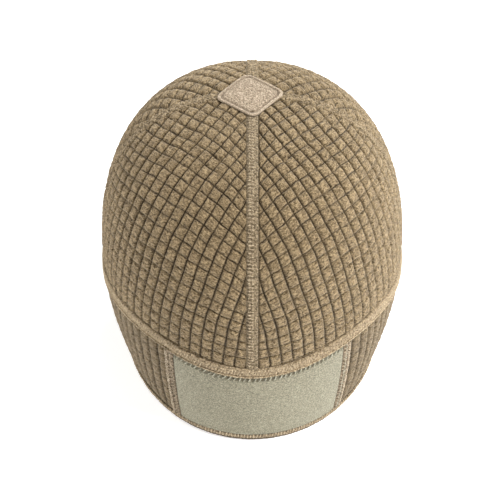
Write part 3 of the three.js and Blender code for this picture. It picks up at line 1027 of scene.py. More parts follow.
@dataclass(frozen=True)
class GridFinish(ClothFinish):
    """Grid fleece: brushed squares with grooves between them, darkened with painted shade."""

    # groove is the colour of the painted shade in the grooves and where the fleece goes under seams.
    groove: Colour = (0.015, 0.0085, 0.0035)
    line_strength: float = 0.95
    cross_strength: float = 1.0
    line_width: float = 0.56
    cross_width: float = 0.44
    soft_spread: float = 0.16
    soft_shade: float = 0.14
    fold_shade: float = 0.8
    ridge_highlight: float = 0.5
    lit_side_span: tuple[float, float] = (0.05, 0.08)
    lit_side_lines: float = 0.5

    def surface(self, g: Graph, groups: dict[str, bpy.types.NodeTree]) -> tuple[Socket, Socket]:
        """Give the colour and the height.

        Args:
            g: the material's graph.
            groups: the shared node groups.

        Returns:
            The colour and the height.
        """
        cloth = g.scaled(g.add("ShaderNodeUVMap", uv_map="grain").outputs[0], 1.0 / UV_PER_MM)
        keys = {"Cloth": cloth, "Line Width": self.line_width, "Cross Width": self.cross_width}
        grid = g.add("ShaderNodeGroup", keys, node_tree=groups["grid"]).outputs
        colour, height = self.mixed(g, cloth, grid["Square"], groups)
        # Painted shade in the grooves, uneven along them.
        broken = g.ramp(g.noise(g.scaled(cloth, 0.16), 1.0), 0.34, 0.56, 0.55, 1.0)
        uneven_groove_shade = g.ramp(g.noise(g.scaled(cloth, 0.11), 1.0, 3.0), 0.36, 0.55, 0.7, 1.0)
        # Painted light: the groove shade fades to a share of itself on the right side, which the key lamp
        # lights.
        side = g.add("ShaderNodeSeparateXYZ", {0: g.place()}).outputs[0]
        lit_side_fade = g.ramp(side, *self.lit_side_span, 1.0, self.lit_side_lines)
        # Painted shade on the short folds low on the cloth, and painted highlight on the ridges beside them.
        colour = g.tint(colour, g.times(grid["Folds"], self.fold_shade), self.deep)
        colour = g.tint(colour, g.times(grid["Ridges"], self.ridge_highlight), self.light)
        wide = g.math("POWER", grid["Lines"], g.minus(1.0, g.times(grid["Low"], 0.3)))
        kept = g.times(broken, g.minus(self.cross_strength, g.times(grid["Low"], 0.2)))
        both = g.math("MAXIMUM", g.times(wide, uneven_groove_shade, self.line_strength), g.times(grid["Crosses"], kept))
        # Painted shade spreads softly from the grooves over the squares, so they look puffed.
        either = g.math("MAXIMUM", grid["Lines"], grid["Crosses"])
        soft = g.times(g.math("POWER", either, self.soft_spread), self.soft_shade)
        dark = g.times(g.math("MAXIMUM", both, soft), g.mask("ease"), lit_side_fade)
        # The grooves, and the fleece where it goes under seams, take the groove colour as painted shade.
        return g.tint(g.tint(colour, dark, self.groove), g.mask("tuck_shade"), self.groove), height


FLEECE = GridFinish(
    "grid_fleece", (0.225, 0.157, 0.081), (0.07, 0.047, 0.024), (0.41, 0.304, 0.17),
    sheen_tint=(0.92, 0.8, 0.62), fibre_share=0.4, crinkle_share=0.53, stretch=(0.65, 1.2, 1.0), swirl=1.2,
    creases=0.2, bump=0.65, bump_depth=0.0012,
)
SEAM_CLOTH = PlainFinish(
    "seam_cloth", (0.252, 0.188, 0.111), (0.09, 0.065, 0.037), (0.44, 0.342, 0.214), stretch=(1.1, 1.1, 1.1),
    bump_depth=0.001, edge=True,
)
FINISHES = (
    FLEECE,
    # The band is the same grid fleece; its darker tones here are painted shade.
    replace(
        FLEECE, name="shaded_band_fleece", base=(0.163, 0.116, 0.063), deep=(0.06, 0.041, 0.022),
        light=(0.305, 0.229, 0.137), line_width=0.68, line_strength=1.0, cross_strength=0.9,
        soft_shade=0.2, fold_shade=0.3, ridge_highlight=0.2,
    ),
    SEAM_CLOTH,
    # The band seam is the same seam cloth; its lighter tones here are painted light, for a seam that faces
    # down and forward and gets less light.
    replace(
        SEAM_CLOTH, name="lit_band_seam_cloth", base=(0.34, 0.252, 0.148), deep=(0.13, 0.093, 0.052),
        light=(0.55, 0.425, 0.27),
    ),
    PlainFinish(
        "side_seam_cloth", (0.225, 0.16, 0.084), (0.07, 0.047, 0.024), (0.43, 0.322, 0.185),
        stretch=(0.8, 0.8, 0.8), creases=0.6, bump_depth=0.0012, edge=True,
    ),
    PlainFinish(
        "hem_knit", (0.27, 0.203, 0.126), (0.1, 0.072, 0.042), (0.46, 0.36, 0.243), stretch=(1.2, 1.2, 1.2),
        creases=0.6, edge=True,
    ),
    PlainFinish(
        "panel_seam_cloth", (0.25, 0.188, 0.12), (0.09, 0.064, 0.038), (0.46, 0.365, 0.255),
        stretch=(1.2, 1.2, 1.2), creases=0.6, bump_depth=0.001, edge=True,
    ),
    PlainFinish(
        "loop_cloth", (0.258, 0.234, 0.162), (0.148, 0.134, 0.09), (0.39, 0.36, 0.256), fibres=1500.0,
        clumps=0.8, sheen_tint=(0.88, 0.88, 0.78), fibre_share=0.9, crinkle_share=0.04,
        stretch=(2.2, 2.2, 2.2), swirl=1.2, creases=0.1, bump=0.6, edge=True,
        edge_shade_colour=(0.115, 0.098, 0.06),
    ),
    PlainFinish(
        "patch_suede", (0.35, 0.265, 0.18), (0.13, 0.093, 0.059), (0.7, 0.566, 0.42), clumps=0.65, bump=0.9,
        edge=True, edge_shade_colour=(0.12, 0.084, 0.053), pale=True, fibre_share=0.85, crinkle_share=0.05,
        stretch=(1.8, 1.8, 1.8), swirl=0.4, creases=0.15,
    ),
    ThreadFinish(
        "side_seam_thread", (0.3, 0.226, 0.136), (0.13, 0.094, 0.052), (0.5, 0.395, 0.26), creases=0.3,
        stretch=(0.5, 0.5, 0.5),
    ),
    ThreadFinish(
        "seam_thread", (0.4, 0.312, 0.2), (0.19, 0.142, 0.087), (0.64, 0.52, 0.36), stretch=(0.8, 0.8, 0.8),
    ),
    ThreadFinish("pale_thread", (0.47, 0.38, 0.27), (0.23, 0.176, 0.115), (0.72, 0.61, 0.47), creases=0.3),
    ThreadFinish("loop_thread", (0.37, 0.352, 0.265), (0.22, 0.205, 0.15), (0.55, 0.53, 0.42)),
    ThreadFinish("patch_thread", (0.36, 0.28, 0.195), (0.24, 0.18, 0.12), (0.5, 0.4, 0.29)),
)


class Workroom:
    """What the makers of the pieces share: the materials and the trees."""

    def __init__(self) -> None:
        """Build the node groups, the materials and the trees."""
        groups = {"fibres": make_fibre_group(), "crinkles": make_crinkle_group(), "grid": make_grid_group()}
        self.materials = {finish.name: finish.material(groups) for finish in FINISHES}
        self.relief = make_relief_tree()
        self.stitches = make_stitch_tree()


@dataclass(frozen=True)
class StitchRow:
    """One row of stitches along a path: its place beside the path, its spacing and its slant in degrees."""

    beside: float
    spacing: float
    slant: float
    phase: float = 0.0


@dataclass(frozen=True)
class Stitch:
    """One kind of stitch: how far it stands out, its length, rise and thread radius, and how uneven it is."""

    out: float
    length: float = 1.8
    rise: float = 0.3
    thread: float = 0.27
    jitter: float = 0.12
    turn_jitter: float = 9.0


@dataclass(frozen=True)
class StitchRun:
    """Rows of stitches of one kind along one path."""

    name: str
    slot: str
    node: str
    material: str
    path: SeamPath
    rows: tuple[StitchRow, ...]
    stitch: Stitch
    seed: int
    start: float = 0.0
    end: float = 0.0
    sizes: tuple[float, float] = (0.88, 1.14)

    def build(self, room: Workroom) -> None:
        """Lay the stitches.

        Args:
            room: the shared materials and trees.
        """
        random = np.random.default_rng(self.seed)
        jitter = self.stitch.jitter
        parts = []
        for row in self.rows:
            count = int((self.path.length - self.start - self.end) / row.spacing)
            along = self.start + (np.arange(count) + 0.5 + row.phase) * row.spacing
            along = along[along < self.path.length - self.end]
            along = along + random.normal(0, jitter, len(along))
            beside = row.beside + random.normal(0, jitter * 0.6, len(along))
            here, ahead, side, up = self.path.axes(along, beside, np.full(len(along), self.stitch.out))
            turn = np.radians(row.slant + random.normal(0, self.stitch.turn_jitter, len(along)))[:, None]
            parts.append((here, ahead * np.cos(turn) + side * np.sin(turn), up))
        points, alongs, ups = (np.concatenate(column) for column in zip(*parts))
        masks = {"along": alongs, "up": ups, "size": random.uniform(*self.sizes, len(points))}
        piece = make_piece(self.name, points, [], masks)
        values = {"Length": self.stitch.length, "Rise": self.stitch.rise, "Thread Radius": self.stitch.thread}
        room.stitches.shape(piece, room.materials[self.material], values)
        settle(piece, self.node)


@dataclass(frozen=True)
class PitRow:
    """One row of pits that a needle leaves along a ribbon, at a share of its half width, darkened with
    painted shade.
    """

    at: float
    spacing: float = 1.7
    phase: float = 0.0
    width: float = 0.14
    depth: float = 0.5
    dark: float = 0.85
    unrest: float = 0.12


class Profile(Enum):
    """How a seam's face stands across its width: shares of the half width and of its height."""

    SUNK = (
        (-1.0, -0.42), (-0.88, -0.3), (-0.72, 0.0), (-0.5, 0.15), (-0.2, 0.1), (0.0, 0.2), (0.2, 0.1),
        (0.5, 0.15), (0.72, 0.0), (0.88, -0.3), (1.0, -0.42),
    )
    FRONT = (
        (-1.0, -0.9), (-0.9, -0.5), (-0.75, -0.1), (-0.6, 0.3), (-0.45, 0.6), (-0.25, 0.7), (0.0, 0.8),
        (0.25, 0.9), (0.5, 1.0), (0.74, 1.1), (0.9, 1.0), (0.99, 0.3), (1.0, -1.0),
    )
    BANDED = (
        (-1.0, -1.2), (-0.99, 0.6), (-0.93, 1.1), (-0.85, 1.2), (-0.78, 1.05), (-0.74, 0.7), (-0.7, 0.4),
        (-0.66, 0.6), (-0.58, 0.85), (-0.4, 1.0), (-0.1, 0.95), (0.2, 1.0), (0.5, 1.05), (0.74, 1.0),
        (0.9, 0.75), (0.98, 0.1), (1.0, -1.2),
    )
    PANEL_LEFT = (
        (-1.0, -1.8), (-0.98, 0.4), (-0.92, 1.3), (-0.78, 1.9), (-0.58, 1.8), (-0.4, 1.3), (-0.26, 0.8),
        (-0.16, 0.7), (-0.04, 0.8), (0.15, 1.1), (0.45, 1.15), (0.7, 1.0), (0.88, 0.8), (0.97, 0.55),
        (1.0, -1.2),
    )
    PANEL_RIGHT = (
        (-1.0, -1.2), (-0.98, 0.5), (-0.9, 0.7), (-0.8, 0.6), (-0.7, 0.65), (-0.55, 1.0), (-0.3, 1.1),
        (-0.1, 0.9), (0.05, 0.6), (0.2, 1.0), (0.45, 1.4), (0.7, 1.5), (0.88, 1.2), (0.97, 0.3), (1.0, -1.8),
    )


@dataclass(frozen=True)
class Ribbon:
    """The raised cloth of a flat seam along one path."""

    name: str
    node: str
    material: str
    path: SeamPath
    width: float
    profile: Profile
    step: float
    knots: float
    pits: tuple[PitRow, ...]
    proud: float = 0.6
    deep: float = 2.4
    ring: bool = False
    flush: float = 0.0
    columns: int = 12

    def section(self, along: Array) -> tuple[Array, Array]:
        """Find the points of the sections at lengths along the path.

        Args:
            along: lengths along the path.

        Returns:
            Points by station and place in the section, and how much painted shade darkens each.
        """
        shares, rises = np.array(self.profile.value).T
        across = np.union1d(shares, np.linspace(-0.92, 0.92, self.columns).round(3))
        beside = self.width / 2 * np.concatenate([across, [0.98, 0.0, -0.98]])
        rise = np.interp(across, shares, rises)
        turn = TURN * along[:, None]
        wave = np.sin(turn / 2.0 + across * 1.2) * 0.6 + np.sin(turn / 11.3 + across * 2.8) * 0.5
        face = rise * self.proud + self.knots * wave * (rise > 0.2)
        risen = smooth(self.flush - 0.8, self.flush + 0.8, along)[:, None] if self.flush else 1.0
        face = np.minimum(face, -0.1) * (1 - risen) + face * risen
        # Painted shade where the face sinks under the fleece beside it, and in the needle pits.
        dark = 0.7 * (1 - smooth(-0.7, -0.15, rise * self.proud)) + 0 * face
        for number, row in enumerate(self.pits):
            stray = row.unrest * (np.sin(turn / 6.1 + number) + np.sin(turn / 2.7 + 2 * number) * 1.2)
            strength = 0.75 + 0.25 * np.sin(turn / 4.3 + 3 * number)
            near = np.exp(-(((across - row.at) / row.width + stray) ** 2)) * strength
            pit = near * smooth(-0.3, 0.6, np.cos(turn / row.spacing + TURN * row.phase + 3 * stray))
            face = face - row.depth * pit
            dark = np.maximum(dark, row.dark * pit)
        out = np.concatenate([face, np.full((len(along), 3), -self.deep)], axis=1)
        dark = np.concatenate([dark, np.zeros((len(along), 3))], axis=1)
        return self.path.points(along[:, None] + 0 * out, beside + 0 * out, out), dark

    def build(self, room: Workroom) -> None:
        """Carry the section along the path.

        Args:
            room: the shared materials.
        """
        along = np.linspace(0, self.path.length, int(self.path.length / self.step) + 1)
        points, dark = self.section(along[:-1] if self.ring else along)
        piece = close_sweep(self.name, points, {"edge": dark}, room.materials[self.material], self.ring)
        settle(piece, self.node)


@dataclass(frozen=True)
class Sheet:
    """A closed sheet of cloth that follows the form, fine outside and coarser inside."""

    name: str
    slot: str
    node: str
    material: str
    thick: float
    relief: dict[str, float] | None
    dropped: tuple[str, ...] = ("out",)
    stride: int = 4

    def build(self, room: Workroom, phi: Array, t: Array, out: Array, flat: tuple[Array, Array],
              masks: dict[str, tuple[Array, float]]) -> None:
        """Build the sheet, raise its relief and drop the attributes that no material reads.

        Args:
            room: the shared materials and trees.
            phi: angles round the head, by row and column.
            t: places down the meridians.
            out: how far the outer face stands out of the form.
            flat: the two cloth coordinates.
            masks: values on the outer face and one value inside, by name.
        """
        skin, normal = FORM.skin(phi, t), FORM.normal(phi, t)
        step = np.s_[::self.stride, ::self.stride]
        cloth = np.stack([*flat, np.zeros_like(phi)], axis=-1)
        pairs = {
            "points": (skin + normal * out[..., None], skin[step] - normal[step] * self.thick),
            "out": (normal, -normal[step]),
            "cloth": (cloth, cloth[step]),
        }
        joined = {
            name: np.concatenate([part.reshape(-1, 3) for part in pair]) for name, pair in pairs.items()
        }
        points = joined.pop("points")
        faces, inner = slab_faces(*phi.shape, self.stride)
        joined["grain"] = joined["cloth"][:, :2] * UV_PER_MM
        for name, (face, inside) in masks.items():
            joined[name] = np.concatenate([face.ravel(), np.full(inner, inside)])
        piece = make_piece(self.name, points, faces, joined)
        if self.relief is None:
            piece.data.materials.append(room.materials[self.material])
        else:
            room.relief.shape(piece, room.materials[self.material], self.relief)
        for name in self.dropped:
            piece.data.attributes.remove(piece.data.attributes[name])
        settle(piece, self.node)


@dataclass(frozen=True)
class Tuck:
    """How fleece dips where it goes under a seam, and how strong the painted shade on it is there."""

    dip: float
    width: float
    tone: float


@dataclass(frozen=True)
class SeamStyle:
    """How one kind of crown seam is made: its cloth, its face, its needle pits and its thread."""

    cloth: str
    thread: str
    profile: Profile
    width: float
    proud: float
    knots: float
    stitch: Stitch
    rows: tuple[StitchRow, ...]
    pits: tuple[PitRow, ...]


@dataclass(frozen=True)
class Crown:
    """The four gores of grid fleece and their flat seams."""

    room: Workroom
    thick: float = 2.6
    under_seam: float = 2.9
    under_band: float = 0.9
    start: float = 5.4
    puff: float = 0.35
    soft_tuck: Tuck = Tuck(0.2, 2.2, 0.1)
    sharp_tuck: Tuck = Tuck(0.9, 1.3, 0.35)
    band_shade: float = 0.3
    fine: tuple[int, int] = (284, 304)
    coarse: tuple[int, int] = (144, 164)
    seam_start: float = 12.0
    seam_step: float = 0.4
    patch_edges: tuple[float, float, float, float] = (21.8, 16.7, 15.6, 18.9)
    front_style: SeamStyle = SeamStyle(
        "seam_cloth", "seam_thread", Profile.FRONT, 6.2, 0.6, 0.18,
        Stitch(0.45, 1.35, jitter=0.08, turn_jitter=6.0),
        (StitchRow(-1.4, 2.0, 89.0), StitchRow(0.1, 2.0, 89.0, 0.1)),
        (
            PitRow(-0.72, 2.0, width=0.1), PitRow(-0.2, 2.0, width=0.1),
            PitRow(0.3, 2.0, dark=0.6, width=0.08), PitRow(0.84, phase=0.25, dark=0.95),
        ),
    )
    side_style: SeamStyle = SeamStyle(
        "side_seam_cloth", "side_seam_thread", Profile.SUNK, 6.8, 1.0, 0.12,
        Stitch(0.05, 1.7, thread=0.3, jitter=0.25, turn_jitter=35.0),
        (StitchRow(-2.1, 2.3, 60.0), StitchRow(2.1, 2.3, -55.0, 0.3), StitchRow(0.1, 2.6, 20.0, 0.5)),
        (
            PitRow(-0.6, 2.1, dark=0.7, width=0.2, unrest=0.3),
            PitRow(0.1, 2.6, 0.4, dark=0.6, width=0.25, unrest=0.5),
            PitRow(0.65, 1.9, 0.7, dark=0.7, width=0.2, unrest=0.3),
        ),
    )

    def gore(self, place: str, first: Seam, last: Seam, bow: float) -> None:
        """Build one gore and raise its squares.

        Args:
            place: where it is, as in the names of the piece and of the solid.
            first: the seam at its low-angle edge.
            last: the seam at its high-angle edge.
            bow: how much its cross lines bow up towards the side seam.
        """
        front = Seam.FRONT in (first, last)
        columns, rows = self.fine if front else self.coarse
        shares, lengths = FORM.length_table(math.radians(45))
        full = float(np.interp(1.0, shares, lengths)) + self.under_band
        share = np.interp(np.linspace(self.start, full, rows + 1), lengths, shares)
        low = FORM.beside(first, self.under_seam, share)
        high = FORM.beside(last, -self.under_seam, share)
        high = np.where(high < low, high + TURN, high)
        phi = low[:, None] + (high - low)[:, None] * np.linspace(0, 1, columns + 1)
        t = share[:, None] * FORM.crown_edge(phi)
        edge = full * (1 - share / share[-1])[:, None] + 0 * phi
        out = -self.soft_tuck.dip * (1 - smooth(0, self.soft_tuck.width, edge))
        # Painted shade: the fleece takes the groove colour where it goes under the band seam and the crown
        # seams.
        tuck_shade = self.band_shade * (1 - smooth(0.0, 1.0, edge))
        skin = FORM.skin(phi, t)
        for seam in (first, last):
            tuck = self.sharp_tuck if seam is Seam.FRONT and first is Seam.FRONT else self.soft_tuck
            far = np.abs(FORM.across(seam, skin)) - self.under_seam
            out = out - tuck.dip * (1 - smooth(0, tuck.width, far))
            tuck_shade = np.maximum(tuck_shade, tuck.tone * (1 - smooth(0.0, 1.3, far)))
            edge = np.minimum(edge, far)
        out = out + self.puff * smooth(1, 9, edge) - self.puff
        flat = FlatCloth(side_bow=bow).gore(
            phi, t, first in (Seam.FRONT, Seam.RIGHT), first in (Seam.RIGHT, Seam.BACK)
        )
        relief = {} if front else {"Line Depth": 1.5, "Cross Depth": 1.7}
        sheet = Sheet(f"fleece_{place}", "fleece", f"crown_panel_{place}", "grid_fleece", self.thick, relief)
        masks = {"ease": (smooth(0.0, 1.0, edge), 0.0), "tuck_shade": (tuck_shade, 0.0)}
        sheet.build(self.room, phi, t, out, flat, masks)

    def seam(self, place: str, node: str, seam: Seam, seed: int) -> None:
        """Build one crown seam and its thread.

        Args:
            place: where it is, as in the piece's name.
            node: the solid that it stands for.
            seam: which seam it is.
            seed: the seed of its stitches.
        """
        path = CrownPath(seam, self.seam_start)
        style = self.front_style if seam is Seam.FRONT else self.side_style
        edge = dict(zip(Seam, self.patch_edges))[seam] - self.seam_start
        Ribbon(
            f"seam_{place}", node, style.cloth, path, style.width, style.profile, self.seam_step, style.knots,
            style.pits, style.proud, flush=edge,
        ).build(self.room)
        StitchRun(
            f"seam_{place}_thread", "seam", node, style.thread, path, style.rows, style.stitch, seed, edge
        ).build(self.room)

    def build(self) -> None:
        """Build the gores, then the seams with their thread."""
        self.gore("front_right", Seam.FRONT, Seam.RIGHT, 0.004)
        self.gore("front_left", Seam.LEFT, Seam.FRONT, 0.0008)
        self.gore("back_right", Seam.RIGHT, Seam.BACK, 0.001)
        self.gore("back_left", Seam.BACK, Seam.LEFT, 0.001)
        self.seam("front", "crown_seam_front_back", Seam.FRONT, 11)
        self.seam("back", "crown_seam_front_back", Seam.BACK, 12)
        self.seam("right", "crown_seam_right", Seam.RIGHT, 13)
        self.seam("left", "crown_seam_left", Seam.LEFT, 14)


@dataclass(frozen=True)
class CrownPatch:
    """The soft square patch over the place where the gores meet, with a stitched line round it."""

    room: Workroom
    side: float = 27.4
    corner: float = 4.2
    long: float = 1.05
    thick: float = 1.2
    lift: float = 0.3
    forward: float = 3.1
    aside: float = -1.1
    turn: float = 6.0
    over_seams: float = 0.1
    stitch_inset: float = 2.0
    groove: float = 0.75
    groove_width: float = 0.5
    rim: float = 1.3
    puff: float = 0.3
    edge_round: float = 0.6
    groove_shade: float = 0.85
    under_shade: float = 0.5
    rim_tone: float = 0.25
    spokes: int = 240
    seed: int = 21
    stitch: Stitch = Stitch(-0.28, 2.1, 0.12, 0.22, 0.05, 2.0)

    def reach(self, angle: Array) -> Array:
        """Find the distance from the middle to the edge, with corners on the seams.

        Args:
            angle: plan angles.

        Returns:
            The distances.
        """
        quarter = math.pi / 2
        turned = np.abs((angle + quarter / 2) % quarter - quarter / 2)
        half = self.side / 2
        flat = half - self.corner
        centre = flat * math.sqrt(2)
        inside = self.corner ** 2 - (centre * np.sin(turned)) ** 2
        rounded = centre * np.cos(turned) + np.sqrt(np.maximum(inside, 0))
        straight = half / np.cos(math.pi / 4 - turned)
        return np.where(turned > math.pi / 4 - math.atan2(flat, half), straight, rounded)

    def place(self, angle: Array, inset: Array, out: Array) -> Array:
        """Find points of the patch.

        Args:
            angle: plan angles from the front.
            inset: distances inside the edge.
            out: distances out from its face.

        Returns:
            Points in millimetres.
        """
        reach = self.reach(angle) * np.maximum(1 - np.asarray(inset, float) / (self.side / 2), 0)
        along = angle + math.radians(self.turn)
        x = self.aside + reach * np.sin(along)
        back = -self.forward - reach * self.long * np.cos(along)
        phi, t = FORM.under_plan(x, FORM.apex_back + back)
        beside = np.minimum(np.abs(x), np.abs(back))
        over = self.over_seams * np.exp(-((beside / 3.6) ** 2)) * smooth(8, 14, reach)
        height = self.lift + self.thick + over + np.asarray(out, float)
        return FORM.skin(phi, t) + FORM.normal(phi, t) * height[..., None]

    def build(self) -> None:
        """Build the plate and its stitches."""
        half = self.side / 2
        inset = np.concatenate([[half], np.linspace(half - 0.6, 4.2, 14), np.linspace(3.9, 0.0, 33)])
        groove = np.exp(-(((inset - self.stitch_inset) / self.groove_width) ** 2))
        face = -self.groove * groove + self.puff * smooth(3, 7.5, inset)
        face = face - self.edge_round * (1 - np.minimum(inset / self.edge_round, 1)) ** 2
        pale = self.rim_tone * (1 - smooth(self.rim - 0.4, self.rim + 0.2, inset))
        # Painted shade in the stitch groove, and on the wall and underside of the patch.
        dark = np.concatenate([self.groove_shade * groove, [self.under_shade] * 3])
        pale = np.concatenate([pale, [0.0] * 3])
        inset = np.concatenate([inset, [0.0, half * 0.5, half]])
        face = np.concatenate([face, [-self.thick] * 3])
        angle = np.linspace(0, TURN, self.spokes, endpoint=False)[:, None]
        points = self.place(angle + 0 * inset, inset + 0 * angle, face + 0 * angle)
        masks = {"edge": np.tile(dark, self.spokes), "pale": np.tile(pale, self.spokes)}
        suede = self.room.materials["patch_suede"]
        settle(close_sweep("crown_patch_suede", points, masks, suede, pole=True), "crown_patch")
        path = PatchPath(self, self.stitch_inset)
        rows = (StitchRow(0.0, 2.7, 0.0),)
        StitchRun(
            "crown_patch_thread", "patch", "crown_patch", "patch_thread", path, rows, self.stitch, self.seed
        ).build(self.room)


class PatchPath(SeamPath):
    """A line round the crown patch, a little inside its edge."""

    def __init__(self, patch: CrownPatch, inset: float) -> None:
        """Measure the line.

        Args:
            patch: the patch.
            inset: how far inside its edge the line lies.
        """
        self.patch = patch
        self.inset = inset
        angles = np.linspace(0, TURN, 721)
        super().__init__(angles, patch.place(angles, np.full(len(angles), inset), 0.0))

    def points(self, along: Array, beside: Array, out: Array) -> Array:
        """Find points by length along, distance inwards and distance out from the patch's face."""
        along, beside, out = np.broadcast_arrays(along, beside, out)
        return self.patch.place(self.place(along), self.inset + beside, out)


@dataclass(frozen=True)
class BandWall:
    """The band of grid fleece round the sides and back, its top seam, and the bound hem."""

    room: Workroom
    start: float = 39.1
    end: float = 326.3
    thick: float = 2.4
    low: float = 4.7
    columns: int = 640
    rows: int = 72
    per_radian: float = 90.0
    seam_width: float = 6.4
    dip: float = 1.0
    puff: float = 0.3
    hem_height: float = 4.6
    hem_proud: float = 0.35
    hem_inner: float = 2.9
    hem_line: float = 1.65
    hem_stations: int = 1320
    stitch_spacing: float = 1.7
    pits: tuple[PitRow, ...] = (
        PitRow(0.72, phase=0.2, dark=0.45),
        PitRow(0.1, phase=0.7, dark=0.45),
        PitRow(-0.5, phase=0.2, dark=0.45),
    )
    seam_step: float = 0.55
    knots: float = 0.24
    seed: int = 31
    hem_seed: int = 41
    seam_stitch: Stitch = Stitch(0.5, thread=0.3)
    lip_stitch: Stitch = Stitch(0.75, thread=0.3)
    hem_stitch: Stitch = Stitch(0.5, 2.9, 0.35, 0.4, 0.08, 8.0)

    def sheet(self) -> None:
        """Build the fleece of the band."""
        phi = np.radians(np.linspace(self.start, self.end, self.columns + 1))[None, :]
        top = FORM.band_seam(phi) - self.seam_width / 2 + 0.1
        z = top + (self.low - top) * np.linspace(0, 1, self.rows + 1)[:, None]
        phi = phi + 0 * z
        ends = np.minimum(phi - phi[0, 0], phi[0, -1] - phi) * self.per_radian
        level = np.minimum(top - z, z - self.low)
        edge = np.minimum(level, ends)
        out = -self.dip * (1 - smooth(0, 2.6, ends)) - 0.25 * (1 - smooth(0, 1.5, level))
        out = out + self.puff * (smooth(1, 8, edge) - 1)
        relief = {"Line Width": 0.75, "Line Depth": 1.5, "Cross Depth": 0.8, "Crinkle": 0.2}
        # Painted shade where the band's fleece goes under the panel seams at its ends.
        masks = {"ease": (smooth(0.1, 1.8, edge), 0.0), "tuck_shade": (0.8 * (1 - smooth(0.2, 1.7, ends)), 0.0)}
        sheet = Sheet("fleece_band", "fleece", "band", "shaded_band_fleece", self.thick, relief)
        sheet.build(self.room, phi, FORM.t_at_height(phi, z), out, FlatCloth().band(phi, z), masks)

    def top_seam(self) -> None:
        """Build the seam between the crown and the band, with its thread."""
        path = RoundPath(FORM.band_seam)
        width = self.seam_width + 0.2
        Ribbon(
            "seam_band", "band_seam", "lit_band_seam_cloth", path, width, Profile.BANDED, self.seam_step,
            self.knots, self.pits, ring=True, columns=10,
        ).build(self.room)
        rows = (
            (-0.8, 86.0, 0.0, self.seam_stitch), (1.3, 86.0, 0.5, self.seam_stitch),
            (-2.85, 2.0, 0.0, self.lip_stitch),
        )
        for number, (side, slant, phase, stitch) in enumerate(rows):
            row = StitchRow(side, self.stitch_spacing, slant, phase)
            StitchRun(
                f"seam_band_thread_{number + 1}", "seam", "band_seam", "seam_thread", path, (row,), stitch,
                self.seed + number,
            ).build(self.room)

    def hem_section(self) -> Array:
        """Lay out the hem's section.

        Returns:
            The height above the floor and the distance out of each point.
        """
        top, proud, inner = self.hem_height, self.hem_proud, -self.hem_inner
        return np.array([
            (0.0, inner * 0.5), (0.02, -0.9), (0.1, -0.35), (0.3, 0.0), (0.7, proud), (1.1, proud),
            (1.45, proud - 0.1), (self.hem_line, proud - 0.45), (1.85, proud - 0.1), (2.3, proud + 0.1),
            (3.0, proud + 0.15), (3.8, proud + 0.1), (4.3, proud), (4.5, proud - 0.3), (top, -0.4),
            (top, inner + 0.4), (4.3, inner), (2.2, inner), (0.7, inner), (0.1, inner + 0.6),
        ])

    def hem(self) -> None:
        """Build the hem that is folded over the rim, and the stitches that bind it."""
        path = RoundPath(np.zeros_like)
        height, proud = self.hem_section().T
        along = np.linspace(0, path.length, self.hem_stations, endpoint=False)[:, None]
        turn = TURN * along / path.length
        place = np.arange(len(height))
        wave = np.sin(turn * 150 + place * 1.3) * 0.5 + np.sin(turn * 47 + place * 0.6) * 0.5
        bump = 0.12 * wave * ((height > 0.5) & (proud > -0.2))
        points = path.points(along + 0 * height, height + 0 * along, proud + bump)
        stitches = math.floor(path.length / self.stitch_spacing)
        # Painted shade in the needle holes, in the groove along the hem and along the foot of the fold.
        dots = smooth(-0.3, 0.6, -np.cos(turn * stitches)) * ((height > 2.0) & (proud > -0.5))
        line = 0.75 * np.exp(-(((height - self.hem_line) / 0.2) ** 2)) * (proud > -0.5)
        foot = 0.65 * (1 - smooth(1.4, 2.1, height)) * (proud > -1.0)
        dark = np.maximum(np.maximum(line, foot) + 0 * along, dots * (0.3 + 0.4 * (height > 4.0)))
        knit = self.room.materials["hem_knit"]
        settle(close_sweep("hem_fold", points, {"edge": dark}, knit), "hem")
        rows = (StitchRow(3.6, path.length / stitches, 84.0),)
        StitchRun(
            "hem_thread", "hem", "hem", "seam_thread", path, rows, self.hem_stitch, self.hem_seed
        ).build(self.room)

    def build(self) -> None:
        """Build the band's fleece, its top seam and its hem."""
        self.sheet()
        self.top_seam()
        self.hem()


@dataclass(frozen=True)
class EndSeam:
    """One upright seam at an end of the loop panel: its place, its face, its needle pits and its thread."""

    side: str
    profile: Profile
    seed: int
    pits: tuple[PitRow, ...]
    rows: tuple[StitchRow, ...]
    edging: tuple[StitchRow, ...] = ()


